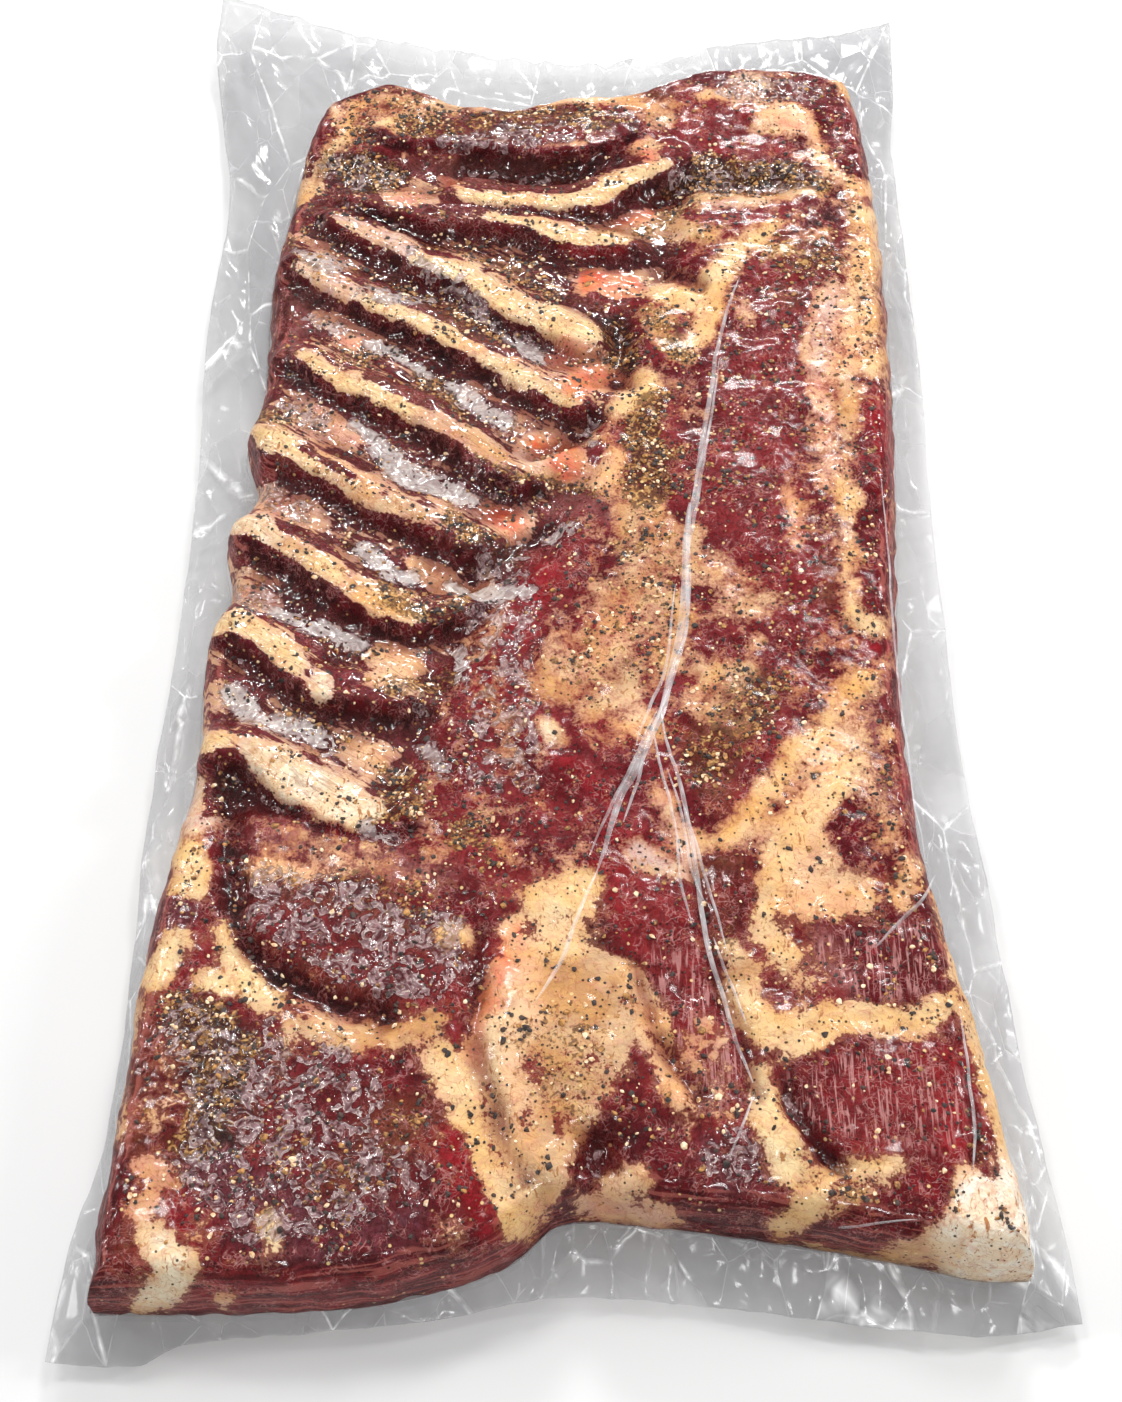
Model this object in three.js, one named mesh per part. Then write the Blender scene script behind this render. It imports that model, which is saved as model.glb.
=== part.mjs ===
// A whole slab of flat cured pancetta, rubbed with cracked pepper and sealed under vacuum in a clear pouch.
// It lies on its smooth fat side with the rib side up: ten ridges between the places of the removed ribs
// run in from the left edge, and a flat muscle sheet fills the rest. The pouch hugs the meat and ends
// in a thin welded margin all round, pulled in between its four corners.
// Millimetres. +X across the slab, +Y along it away from the thick end, +Z up, origin under the middle.
import * as THREE from "three";

// Driving sizes.
const SLAB_THICKNESS = 33; // usual height of the rib side above the floor
const MARGIN_THICKNESS = 1; // the two layers of film, thickened to a plate
const SEAM_HEIGHT = 12; // where the margin leaves the side of the meat
const MARGIN_DROOP = 5; // how far the margin sinks from there to its free edge
const SHOULDER_INSET = 11; // the rounding between side and rib side, measured in plan
const FOOT_INSET = 8; // the rounding between side and underside, measured in plan
const CORNER_SHARPNESS = 8; // a higher power keeps the rounding nearer to the corners
const HALF_WIDTH = 125; // rough half sizes of the meat, by which the rib side is drawn in from its edge
const HALF_LENGTH = 250;

// Grid of the rib side, and the rows of the side below it.
const CELLS_ACROSS = 30;
const CELLS_ALONG = 66;
const SHOULDER_ROWS = 4;
const MARGIN_ROWS = 3;
const FOOT_ROWS = 3;

// Outlines seen from above, one line a side: [place along the side, distance from the middle line].
const MEAT = {
  left: [
    [-281, -136], [-262, -136], [-225, -133], [-190, -132], [-150, -128], [-105, -122], [-58, -123],
    [-35, -117], [-12, -120], [10, -112], [32, -117], [60, -113], [120, -114], [165, -110], [205, -107], [224, -103],
  ],
  right: [
    [-268, 132], [-235, 134], [-200, 129], [-170, 123], [-130, 117], [-60, 117], [0, 122], [60, 126],
    [130, 128], [205, 127], [230, 124],
  ],
  near: [
    [-138, -282], [-60, -279], [-30, -273], [-13, -266], [0, -255], [20, -255], [60, -260], [100, -266], [134, -268],
  ],
  far: [
    [-107, 216], [-70, 223], [-45, 212], [-25, 207], [0, 214], [32, 218], [55, 230], [95, 231], [127, 224],
  ],
};
const POUCH = {
  left: [
    [-293, -148], [-260, -144], [-225, -137], [-100, -136], [0, -134], [110, -138], [175, -136], [212, -142],
    [262, -150], [293, -150],
  ],
  right: [[-286, 152], [-250, 147], [-195, 141], [-100, 136], [0, 135], [100, 139], [200, 138], [240, 143], [286, 147]],
  near: [
    [-146, -293], [-120, -292], [-108, -286], [-70, -283], [-36, -280], [0, -273], [40, -275], [85, -281],
    [120, -284], [148, -282],
  ],
  far: [[-146, 293], [-115, 286], [-79, 275], [-44, 263], [0, 259], [40, 261], [75, 272], [113, 277], [144, 288]],
};
const MEAT_CORNERS = { nearLeft: 2, nearRight: 7, farLeft: 6, farRight: 3 }; // how far each is cut back
const POUCH_CORNERS = { nearLeft: 2, nearRight: 2, farLeft: 2, farRight: 2 };

// Each ridge between two removed ribs: where its crest starts, passes and ends, its height and half width.
const RIDGES = [
  { from: [-78, 186], by: [-30, 187], to: [25, 181], height: 3, reach: 9 },
  { from: [-40, 149], by: [2, 145], to: [46, 165], height: 4, reach: 8 },
  { from: [-88, 151], by: [-30, 138], to: [40, 122], height: 4, reach: 8 },
  { from: [-87, 134], by: [-42, 107], to: [14, 80], height: 5, reach: 9 },
  { from: [-100, 112], by: [-48, 79], to: [12, 46], height: 5, reach: 9 },
  { from: [-98, 64], by: [-55, 37], to: [2, 12], height: 5, reach: 9 },
  { from: [-114, 31], by: [-68, 4], to: [-16, -24], height: 5, reach: 9 },
  { from: [-119, -13], by: [-78, -33], to: [-40, -57], height: 5, reach: 9 },
  { from: [-121, -57], by: [-92, -69], to: [-52, -90], height: 5, reach: 9 },
  { from: [-114, -103], by: [-82, -115], to: [-56, -129], height: 5, reach: 11 },
];
const NEAR_FACE_SHARE = 0.45; // the side of a ridge that faces the thick end is this much steeper

// Channels between the muscles: the line of each, its depth and half width.
const CHANNELS = [
  { from: [-45, 168], by: [-12, 167], to: [16, 169], depth: 6, reach: 6 },
  { from: [40, 152], by: [75, 156], to: [108, 146], depth: 5, reach: 8 },
  { from: [50, 108], by: [24, 62], to: [0, -12], depth: 4, reach: 8 },
  { from: [0, -12], by: [-26, -50], to: [-38, -98], depth: 4, reach: 8 },
  { from: [-104, -134], by: [-101, -160], to: [-54, -197], depth: 5, reach: 7 },
  { from: [-24, -172], by: [-23, -208], to: [-4, -262], depth: 3, reach: 6 },
  { from: [42, -135], by: [50, -195], to: [66, -240], depth: 3, reach: 6 },
  { from: [18, -222], by: [16, -245], to: [14, -266], depth: 7, reach: 12 },
];

// Broad rises and hollows of the whole slab: the middle of each, its half lengths and its height.
const SWELLS = [
  { at: [75, 30], size: [45, 120], height: 2 },
  { at: [-75, -235], size: [60, 45], height: 3 },
  { at: [88, -222], size: [32, 24], height: 2.5 },
  { at: [118, -256], size: [22, 18], height: 2 },
  { at: [5, -195], size: [26, 50], height: 2 },
  { at: [-60, -160], size: [40, 22], height: 2 },
  { at: [75, 205], size: [60, 20], height: 2 },
  { at: [15, -60], size: [45, 60], height: -2 },
];

// A smooth line through [place, value] pairs, read at any place and level past both ends.
function lineAt(pairs, place) {
  const last = pairs.length - 1;
  if (place <= pairs[0][0]) return pairs[0][1];
  if (place >= pairs[last][0]) return pairs[last][1];
  const k = pairs.findIndex((pair, i) => i < last && place < pairs[i + 1][0]);
  const slope = (i) => {
    const before = pairs[Math.max(i - 1, 0)];
    const after = pairs[Math.min(i + 1, last)];
    return (after[1] - before[1]) / (after[0] - before[0]);
  };
  const [start, low] = pairs[k];
  const [end, high] = pairs[k + 1];
  const span = end - start;
  const u = (place - start) / span;
  const rise = u * u * (3 - 2 * u);
  return (
    low + (high - low) * rise + span * (slope(k) * u * (1 - u) ** 2 - slope(k + 1) * u * u * (1 - u))
  );
}

// Where the point (s, t) of a square from -1 to 1 lies inside an outline, seen from above.
function inside(outline, corners, s, t) {
  const across = (s + 1) / 2;
  const along = (t + 1) / 2;
  const mix = THREE.MathUtils.lerp;
  let y = mix(outline.near[0][1], outline.far[0][1], along);
  let x = 0;
  for (let pass = 0; pass < 3; pass++) {
    x = mix(lineAt(outline.left, y), lineAt(outline.right, y), across);
    y = mix(lineAt(outline.near, x), lineAt(outline.far, x), along);
  }
  const nearCut = s < 0 ? corners.nearLeft : corners.nearRight;
  const farCut = s < 0 ? corners.farLeft : corners.farRight;
  const cut = (t < 0 ? nearCut : farCut) * Math.abs(s * t) ** CORNER_SHARPNESS;
  return new THREE.Vector2(x - Math.sign(s) * cut, y - Math.sign(t) * cut);
}

// The bent line of a ridge or channel, as a curve that passes its middle point.
function bentLine({ from, by, to }) {
  const pull = by.map((value, i) => 2 * value - (from[i] + to[i]) / 2);
  return new THREE.QuadraticBezierCurve(
    new THREE.Vector2(...from),
    new THREE.Vector2(...pull),
    new THREE.Vector2(...to),
  ).getPoints(14);
}

// How far a point is from a line of points, counted as negative on the side of the thick end.
function offsetFrom(points, p) {
  let best = Infinity;
  let side = 1;
  for (let i = 1; i < points.length; i++) {
    const run = points[i].clone().sub(points[i - 1]);
    const away = p.clone().sub(points[i - 1]);
    const share = THREE.MathUtils.clamp(away.dot(run) / run.lengthSq(), 0, 1);
    const distance = away.sub(run.multiplyScalar(share)).length();
    if (distance < best) {
      best = distance;
      side = p.y < points[i - 1].y + share * (points[i].y - points[i - 1].y) ? -1 : 1;
    }
  }
  return best * side;
}

const ridgeLines = RIDGES.map(bentLine);
const channelLines = CHANNELS.map(bentLine);
const bell = (x) => Math.exp(-x * x);

// Height of the rib side above the floor.
function ribSide(p) {
  let height = SLAB_THICKNESS;
  for (const { at, size, height: rise } of SWELLS) {
    height += rise * bell((p.x - at[0]) / size[0]) * bell((p.y - at[1]) / size[1]);
  }
  RIDGES.forEach(({ height: rise, reach }, i) => {
    const offset = offsetFrom(ridgeLines[i], p);
    height += rise * bell(offset / (offset < 0 ? reach * NEAR_FACE_SHARE : reach)) - rise * 0.4 * bell(offset / 26);
  });
  CHANNELS.forEach(({ depth, reach }, i) => {
    height -= depth * bell(offsetFrom(channelLines[i], p) / reach);
  });
  return height;
}

// Height of the middle of the pouch's margin, which droops and waves on its way out.
function marginHeight(p, share) {
  const wave = 1.6 * Math.sin(p.x / 19 + 0.4) * Math.cos(p.y / 31) + 1.1 * Math.sin(p.y / 17 + p.x / 40);
  const lift = 7 * bell((p.x + 148) / 30) * bell((p.y - 291) / 30);
  return SEAM_HEIGHT - MARGIN_DROOP * share + (wave + lift) * share;
}

// The points of the side below one edge point of the rib side, from the shoulder to the foot.
function sideColumn(edge, free, inward) {
  const half = MARGIN_THICKNESS / 2;
  const rim = ribSide(edge.clone().addScaledVector(inward, SHOULDER_INSET));
  const column = [];
  const put = (p, z) => column.push(new THREE.Vector3(p.x, p.y, z));
  for (let k = 0; k <= SHOULDER_ROWS; k++) {
    const turn = (Math.PI / 2) * (1 - k / SHOULDER_ROWS);
    const inset = SHOULDER_INSET * (1 - Math.cos(turn));
    const low = SEAM_HEIGHT + half;
    put(edge.clone().addScaledVector(inward, inset), low + (rim - low) * Math.sin(turn));
  }
  for (const [face, sign] of [["upper", 1], ["lower", -1]]) {
    for (let k = 0; k < MARGIN_ROWS; k++) {
      const share = face === "upper" ? (k + 1) / MARGIN_ROWS : 1 - k / MARGIN_ROWS;
      const p = edge.clone().lerp(free, share);
      put(p, marginHeight(p, share) + sign * half);
    }
  }
  for (let k = 0; k <= FOOT_ROWS; k++) {
    const turn = (Math.PI / 2) * (k / FOOT_ROWS);
    const inset = FOOT_INSET * (1 - Math.cos(turn));
    put(edge.clone().addScaledVector(inward, inset), (SEAM_HEIGHT - half) * (1 - Math.sin(turn)));
  }
  return column;
}

// The way into the slab from each point of a counter-clockwise outline, square to the run of its neighbours.
function inwardOf(outline) {
  return outline.map((_, k) => {
    const before = outline.at(k - 2);
    const after = outline[(k + 2) % outline.length];
    return new THREE.Vector2(before.y - after.y, after.x - before.x).normalize();
  });
}

// The edge points of the square, counter-clockwise seen from above.
function edgeOfSquare() {
  const loop = [];
  for (let i = 0; i < CELLS_ACROSS; i++) loop.push([i, 0]);
  for (let j = 0; j < CELLS_ALONG; j++) loop.push([CELLS_ACROSS, j]);
  for (let i = CELLS_ACROSS; i > 0; i--) loop.push([i, CELLS_ALONG]);
  for (let j = CELLS_ALONG; j > 0; j--) loop.push([0, j]);
  return loop;
}

// One closed skin: the rib side as a grid, the side as rows of rings, the flat underside as a fan.
function sealedSlab() {
  const points = [];
  const faces = [];
  const spot = (i, j) => [(2 * i) / CELLS_ACROSS - 1, (2 * j) / CELLS_ALONG - 1];
  const loop = edgeOfSquare();
  const edge = loop.map(([i, j]) => inside(MEAT, MEAT_CORNERS, ...spot(i, j)));
  const free = loop.map(([i, j]) => inside(POUCH, POUCH_CORNERS, ...spot(i, j)));
  const inward = inwardOf(edge);
  const columns = new Map(loop.map(([i, j], k) => [i + "," + j, sideColumn(edge[k], free[k], inward[k])]));
  const gridIndex = (i, j) => j * (CELLS_ACROSS + 1) + i;
  for (let j = 0; j <= CELLS_ALONG; j++) {
    for (let i = 0; i <= CELLS_ACROSS; i++) {
      const column = columns.get(i + "," + j);
      if (column) {
        points.push(column[0]);
        continue;
      }
      const [s, t] = spot(i, j);
      const p = inside(MEAT, MEAT_CORNERS, s, t);
      p.multiply(new THREE.Vector2(1 - SHOULDER_INSET / HALF_WIDTH, 1 - SHOULDER_INSET / HALF_LENGTH));
      points.push(new THREE.Vector3(p.x, p.y, ribSide(p)));
    }
  }
  for (let j = 0; j < CELLS_ALONG; j++) {
    for (let i = 0; i < CELLS_ACROSS; i++) {
      const [a, b, c, d] = [gridIndex(i, j), gridIndex(i + 1, j), gridIndex(i + 1, j + 1), gridIndex(i, j + 1)];
      faces.push([a, b, c], [a, c, d]);
    }
  }
  let ring = loop.map(([i, j]) => gridIndex(i, j));
  const rows = columns.get("0,0").length;
  for (let row = 1; row < rows; row++) {
    const next = loop.map(([i, j]) => points.push(columns.get(i + "," + j)[row]) - 1);
    ring.forEach((a, k) => {
      const m = (k + 1) % ring.length;
      faces.push([a, next[k], next[m]], [a, next[m], ring[m]]);
    });
    ring = next;
  }
  const middle = points.push(new THREE.Vector3(0, 0, 0)) - 1;
  ring.forEach((a, k) => faces.push([a, middle, ring[(k + 1) % ring.length]]));
  const geometry = new THREE.BufferGeometry().setFromPoints(points).setIndex(faces.flat());
  geometry.computeBoundingBox();
  const middleOfBox = geometry.boundingBox.getCenter(new THREE.Vector3());
  geometry.translate(-middleOfBox.x, -middleOfBox.y, 0);
  geometry.computeVertexNormals();
  return geometry;
}

const curedMeat = new THREE.MeshStandardMaterial({ color: 0x7c3a36, roughness: 0.22, metalness: 0 });
const sealedPancetta = new THREE.Mesh(sealedSlab(), curedMeat);
sealedPancetta.name = "sealed_pancetta";

const pancetta = new THREE.Group();
pancetta.add(sealedPancetta);

export default pancetta;
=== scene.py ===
# %% [markdown]
# # A slab of cured pancetta in a clear vacuum pouch
# The real thing is a whole flat pork belly, rubbed with cracked pepper and sealed in thick clear film.
# What the eye reads is the depth of it: ridges and valleys where the ribs were, cream fat against dark
# muscle, pale juice drawn into the hollows, and over everything a tight film full of small highlights.
# So the model has the same layers: meat, spice, film and the loose margin of the pouch.

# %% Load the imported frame
import math

import bpy
import numpy as np
from mathutils.bvhtree import BVHTree
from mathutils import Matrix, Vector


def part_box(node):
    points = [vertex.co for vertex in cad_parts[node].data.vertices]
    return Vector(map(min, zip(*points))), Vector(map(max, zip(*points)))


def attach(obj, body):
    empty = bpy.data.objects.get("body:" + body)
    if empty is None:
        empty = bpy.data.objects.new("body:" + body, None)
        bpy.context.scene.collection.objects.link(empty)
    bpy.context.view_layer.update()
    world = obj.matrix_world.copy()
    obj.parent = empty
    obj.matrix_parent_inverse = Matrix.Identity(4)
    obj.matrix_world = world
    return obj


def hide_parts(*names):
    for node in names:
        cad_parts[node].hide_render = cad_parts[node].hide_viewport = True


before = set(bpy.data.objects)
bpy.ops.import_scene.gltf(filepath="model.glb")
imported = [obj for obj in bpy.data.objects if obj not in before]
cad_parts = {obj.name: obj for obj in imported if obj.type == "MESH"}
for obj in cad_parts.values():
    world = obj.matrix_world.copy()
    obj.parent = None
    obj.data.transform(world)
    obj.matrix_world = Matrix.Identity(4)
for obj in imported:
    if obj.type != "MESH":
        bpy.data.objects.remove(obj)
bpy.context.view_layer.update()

low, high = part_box("sealed_pancetta")
print("frame box in mm:", [round(1000 * (b - a)) for a, b in zip(low, high)])

# %% [markdown]
# ## Numbers that look grown
# Nothing on meat is straight or even. One kind of smooth noise, read at several sizes, bends every drawn
# line and lifts every surface a little. Blender's own noise function takes one point a call. This one
# takes all the points of a mesh in one array, so that a hundred thousand of them need no waiting.

# %% Smooth noise for whole arrays of points
SEED_SHIFT = 0.37


def lattice(i, j, k, seed):
    """Steady random numbers from -1 to 1 at the corners of a grid: large odd numbers stir the bits."""
    h = (i * 374761393 + j * 668265263 + k * 974634777 + seed * 1274126177) & 0xFFFFFFFF
    h = ((h ^ (h >> 13)) * 1540483477) & 0xFFFFFFFF
    h = ((h ^ (h >> 15)) * 1103515245) & 0xFFFFFFFF
    return (h ^ (h >> 16)) / 0x7FFFFFFF - 1.0


def noise(p, size, seed=0):
    """Smooth noise from about -1 to 1 at points of shape (..., 3); size is the width of its lumps."""
    q = p / size + SEED_SHIFT * seed
    cell = np.floor(q).astype(np.int64)
    f = q - cell
    f = f * f * f * (f * (f * 6 - 15) + 10)
    total = 0
    for corner in np.ndindex(2, 2, 2):
        weight = np.prod(np.where(corner, f, 1 - f), axis=-1)
        total = total + weight * lattice(*np.moveaxis(cell + corner, -1, 0), seed)
    return total


def smooth(x):
    """A soft step from 0 to 1 as x goes from 0 to 1."""
    x = np.clip(x, 0, 1)
    return x * x * (3 - 2 * x)


def bell(x):
    """A hump that is 1 at zero and nearly 0 from two outwards."""
    return np.exp(-x * x)


probe = noise(np.random.default_rng(1).uniform(-90, 90, (4000, 3)), 8)
print("noise spread", round(float(probe.std()), 2))

# %% [markdown]
# ## Outlines
# Seen from above the meat is a long rectangle with one end notched and a wavy left side, where the ridges
# end. The pouch is pulled in along its sides and keeps sharp flared corners. Both are drawn as four
# smooth lines in millimetres, with the sizes of the solid model, and put round its middle. Only the near
# right corner of the meat is sharper here, and reaches ten millimetres further out.

# %% The outlines of meat and pouch
MM = 0.001
SEAM_HEIGHT = 12.0
MARGIN_DROOP = 5.0
SHOULDER_INSET = 11.0
FOOT_INSET = 8.0
CORNER_SHARPNESS = 8

MEAT = {
    "left": [(-281, -136), (-262, -136), (-225, -133), (-190, -132), (-150, -128), (-105, -122),
             (-58, -123), (-35, -117), (-12, -120), (10, -112), (32, -117), (60, -113), (120, -114),
             (165, -110), (205, -107), (224, -103)],
    "right": [(-274, 138), (-262, 138), (-235, 134), (-200, 129), (-170, 123), (-130, 117),
              (-60, 117), (0, 122), (60, 126), (130, 128), (205, 127), (230, 124)],
    "near": [(-138, -282), (-60, -279), (-30, -273), (-13, -266), (0, -255), (20, -255),
             (60, -260), (100, -267), (120, -272), (138, -274)],
    "far": [(-107, 216), (-70, 223), (-45, 212), (-25, 207), (0, 214), (32, 218), (55, 230),
            (95, 231), (127, 224)],
}
POUCH = {
    "left": [(-293, -148), (-260, -144), (-225, -137), (-100, -136), (0, -134), (110, -138),
             (175, -136), (212, -142), (262, -150), (293, -150)],
    "right": [(-286, 152), (-250, 147), (-195, 141), (-100, 136), (0, 135), (100, 139), (200, 138),
              (240, 143), (286, 147)],
    "near": [(-146, -293), (-120, -292), (-108, -286), (-70, -283), (-36, -280), (0, -273), (40, -275),
             (85, -281), (120, -284), (148, -282)],
    "far": [(-146, 293), (-115, 286), (-79, 275), (-44, 263), (0, 259), (40, 261), (75, 272),
            (113, 277), (144, 288)],
}
MEAT_CORNERS = {"near_left": 2, "near_right": 3, "far_left": 6, "far_right": 3}
POUCH_CORNERS = {"near_left": 2, "near_right": 2, "far_left": 2, "far_right": 2}
print("points drawn for the meat", sum(map(len, MEAT.values())), "and the pouch",
      sum(map(len, POUCH.values())))


# %% From drawn sides to any place in between
def line_at(pairs, place):
    """The smooth line through (place, value) pairs, read at any places and level past both ends."""
    at, value = np.array(pairs, float).T
    before = np.maximum(np.arange(len(at)) - 1, 0)
    after = np.minimum(np.arange(len(at)) + 1, len(at) - 1)
    slope = (value[after] - value[before]) / (at[after] - at[before])
    place = np.clip(place, at[0], at[-1])
    k = np.clip(np.searchsorted(at, place, side="right") - 1, 0, len(at) - 2)
    span = at[k + 1] - at[k]
    u = (place - at[k]) / span
    rise = (value[k + 1] - value[k]) * u * u * (3 - 2 * u)
    return value[k] + rise + span * (slope[k] * u * (1 - u) ** 2 - slope[k + 1] * u * u * (1 - u))


def outline(sides, corners, s, t):
    """Where the points (s, t) of a square from -1 to 1 lie inside an outline."""
    across, along = (s + 1) / 2, (t + 1) / 2
    y = sides["near"][0][1] + (sides["far"][0][1] - sides["near"][0][1]) * along
    for _ in range(3):
        x = (1 - across) * line_at(sides["left"], y) + across * line_at(sides["right"], y)
        y = (1 - along) * line_at(sides["near"], x) + along * line_at(sides["far"], x)
    near_cut = np.where(s < 0, corners["near_left"], corners["near_right"])
    far_cut = np.where(s < 0, corners["far_left"], corners["far_right"])
    cut = np.where(t < 0, near_cut, far_cut) * np.abs(s * t) ** CORNER_SHARPNESS
    return np.stack([x - np.sign(s) * cut, y - np.sign(t) * cut], axis=-1)


# %% A ring of places round the slab
CELLS_ACROSS = 190
CELLS_ALONG = 384
TANGENT_REACH = 9


def ring_of_square(nx, ny):
    """The edge points of the square, counter-clockwise from its near left corner."""
    s, t = np.linspace(-1, 1, nx + 1), np.linspace(-1, 1, ny + 1)
    return np.concatenate([
        np.stack([s[:-1], -np.ones(nx)], 1), np.stack([np.ones(ny), t[:-1]], 1),
        np.stack([s[:0:-1], np.ones(nx)], 1), np.stack([-np.ones(ny), t[:0:-1]], 1),
    ])


ring = ring_of_square(CELLS_ACROSS, CELLS_ALONG)
meat_edge = outline(MEAT, MEAT_CORNERS, *ring.T)
pouch_edge = outline(POUCH, POUCH_CORNERS, *ring.T)
middle = (pouch_edge.min(0) + pouch_edge.max(0)) / 2
meat_edge -= middle
pouch_edge -= middle
step = np.roll(meat_edge, -TANGENT_REACH, 0) - np.roll(meat_edge, TANGENT_REACH, 0)
inward = np.stack([-step[:, 1], step[:, 0]], 1)
inward /= np.linalg.norm(inward, axis=1, keepdims=True)
rim = meat_edge + inward * SHOULDER_INSET
print("ring of", len(ring), "places, pouch", np.round(np.ptp(pouch_edge, axis=0)))

# %% The grid of the rib side
def patch(loop, nx, ny):
    """A grid of points stretched between the four sides of a closed loop."""
    near, right = loop[: nx + 1], loop[nx : nx + ny + 1]
    far = loop[nx + ny : 2 * nx + ny + 1][::-1]
    left = np.concatenate([loop[2 * nx + ny :], loop[:1]])[::-1]
    s, t = np.linspace(0, 1, nx + 1)[None, :, None], np.linspace(0, 1, ny + 1)[:, None, None]
    both = (1 - s) * left[:, None] + s * right[:, None] + (1 - t) * near[None] + t * far[None]
    corners = ((1 - s) * (1 - t) * near[0] + s * (1 - t) * near[-1]
               + (1 - s) * t * far[0] + s * t * far[-1])
    return both - corners


top_xy = patch(rim, CELLS_ACROSS, CELLS_ALONG)
print("rib side grid", top_xy.shape[:2])

# %% [markdown]
# ## Relief of the rib side
# Ten ridges run in from the left edge. Each has a rounded crest, a steep wall on the side of the thick
# end and a long gentle back, like small waves. One list of lines makes both the relief and, later, the
# dark meat that shows on each steep wall, so that shape and colour can't drift apart. A line's third
# number is half its width.

# %% Bent lines and the distance from them
def bent(line, cuts=3):
    """A smooth curve through the points of a line, cut into short straight runs."""
    p = np.array(line, float)
    if len(p) < 3:
        return p
    q = np.concatenate([2 * p[:1] - p[1:2], p, 2 * p[-1:] - p[-2:-1]])
    out = []
    for a, b, c, d in zip(q, q[1:], q[2:], q[3:]):
        for u in np.arange(cuts) / cuts:
            out.append(0.5 * (2 * b + (c - a) * u + (2 * a - 5 * b + 4 * c - d) * u * u
                              + (3 * b - a - 3 * c + d) * u ** 3))
    return np.array(out + [p[-1]])


def from_line(line, xy):
    """Distance of places from a line, the side (+1 on its right hand), and the line's half width there."""
    x, y = xy[..., 0], xy[..., 1]
    line = np.atleast_2d(np.array(line, float))
    if len(line) == 1:
        line = np.concatenate([line, line + (0.01, 0, 0)])
    best = np.full(x.shape, 1e9)
    side, width = np.zeros(x.shape), np.zeros(x.shape)
    for a, b in zip(line[:-1], line[1:]):
        run = b[:2] - a[:2]
        u = np.clip(((x - a[0]) * run[0] + (y - a[1]) * run[1]) / (run @ run), 0, 1)
        dx, dy = x - a[0] - u * run[0], y - a[1] - u * run[1]
        d = np.hypot(dx, dy)
        nearer = d < best
        best = np.where(nearer, d, best)
        side = np.where(nearer, dx * run[1] - dy * run[0], side)
        width = np.where(nearer, a[2] + u * (b[2] - a[2]), width)
    return best, np.sign(side), width


print("bent line:", len(bent([(0, 0, 1), (5, 5, 1), (10, 0, 1)])), "points")

# %% Where the ridges, channels, knobs and swells are
RIDGES = {
    "band": [(-66, 186, 5), (-40, 184, 6), (-10, 180, 6), (10, 180, 6), (24, 188, 4)],
    "a": [(-38, 148, 3), (-16, 146, 4), (4, 145, 4.5), (18, 152, 5), (32, 160, 4), (42, 165, 3)],
    "b": [(-78, 147, 3), (-55, 141, 4), (-30, 136, 4), (-12, 132, 4), (4, 126, 4), (22, 121, 3)],
    "c": [(-87, 136, 3), (-78, 130, 5), (-66, 122, 5), (-52, 113, 5), (-38, 105, 5), (-26, 96, 5.5),
          (-14, 88, 6), (0, 80, 6), (10, 74, 5)],
    "d": [(-98, 111, 3), (-88, 103, 4), (-78, 96, 4.5), (-66, 89, 5), (-54, 83, 5), (-42, 76, 5),
          (-30, 67, 5), (-18, 58, 4.5), (-6, 49, 4), (6, 42, 4)],
    "e": [(-98, 65, 3), (-90, 59, 4), (-78, 52, 5), (-64, 44, 5), (-50, 37, 5), (-38, 27, 5),
          (-26, 14, 4), (-14, 8, 4)],
    "f": [(-113, 34, 3), (-104, 25, 5), (-94, 17, 5.5), (-82, 10, 5), (-70, 2, 5), (-58, -6, 5),
          (-44, -12, 5), (-30, -22, 4)],
    "g": [(-118, -14, 4), (-106, -16, 5), (-96, -22, 5), (-84, -32, 5), (-72, -40, 5), (-58, -48, 5),
          (-46, -52, 4), (-34, -50, 3)],
    "h": [(-121, -57, 3), (-110, -56, 5), (-98, -62, 5), (-90, -69, 5), (-80, -78, 5.5), (-66, -82, 5),
          (-52, -86, 4)],
    "i": [(-120, -105, 3), (-110, -103, 4), (-98, -106, 5.5), (-88, -114, 7), (-76, -122, 7.5),
          (-64, -127, 6), (-54, -129, 3)],
}
FLAT_HEIGHT = 33.0
HIGHEST_MEAT = 35.2
RIDGE_HEIGHT = 7.0
RIBS_NEAR_END = -134.0
RIBS_BLEND = 14.0
RIB_ZONE_EDGE = [(-130, -52), (-100, -44), (-60, -32), (-10, 2), (40, 14), (80, 24), (110, 40),
                 (150, 52)]
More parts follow.
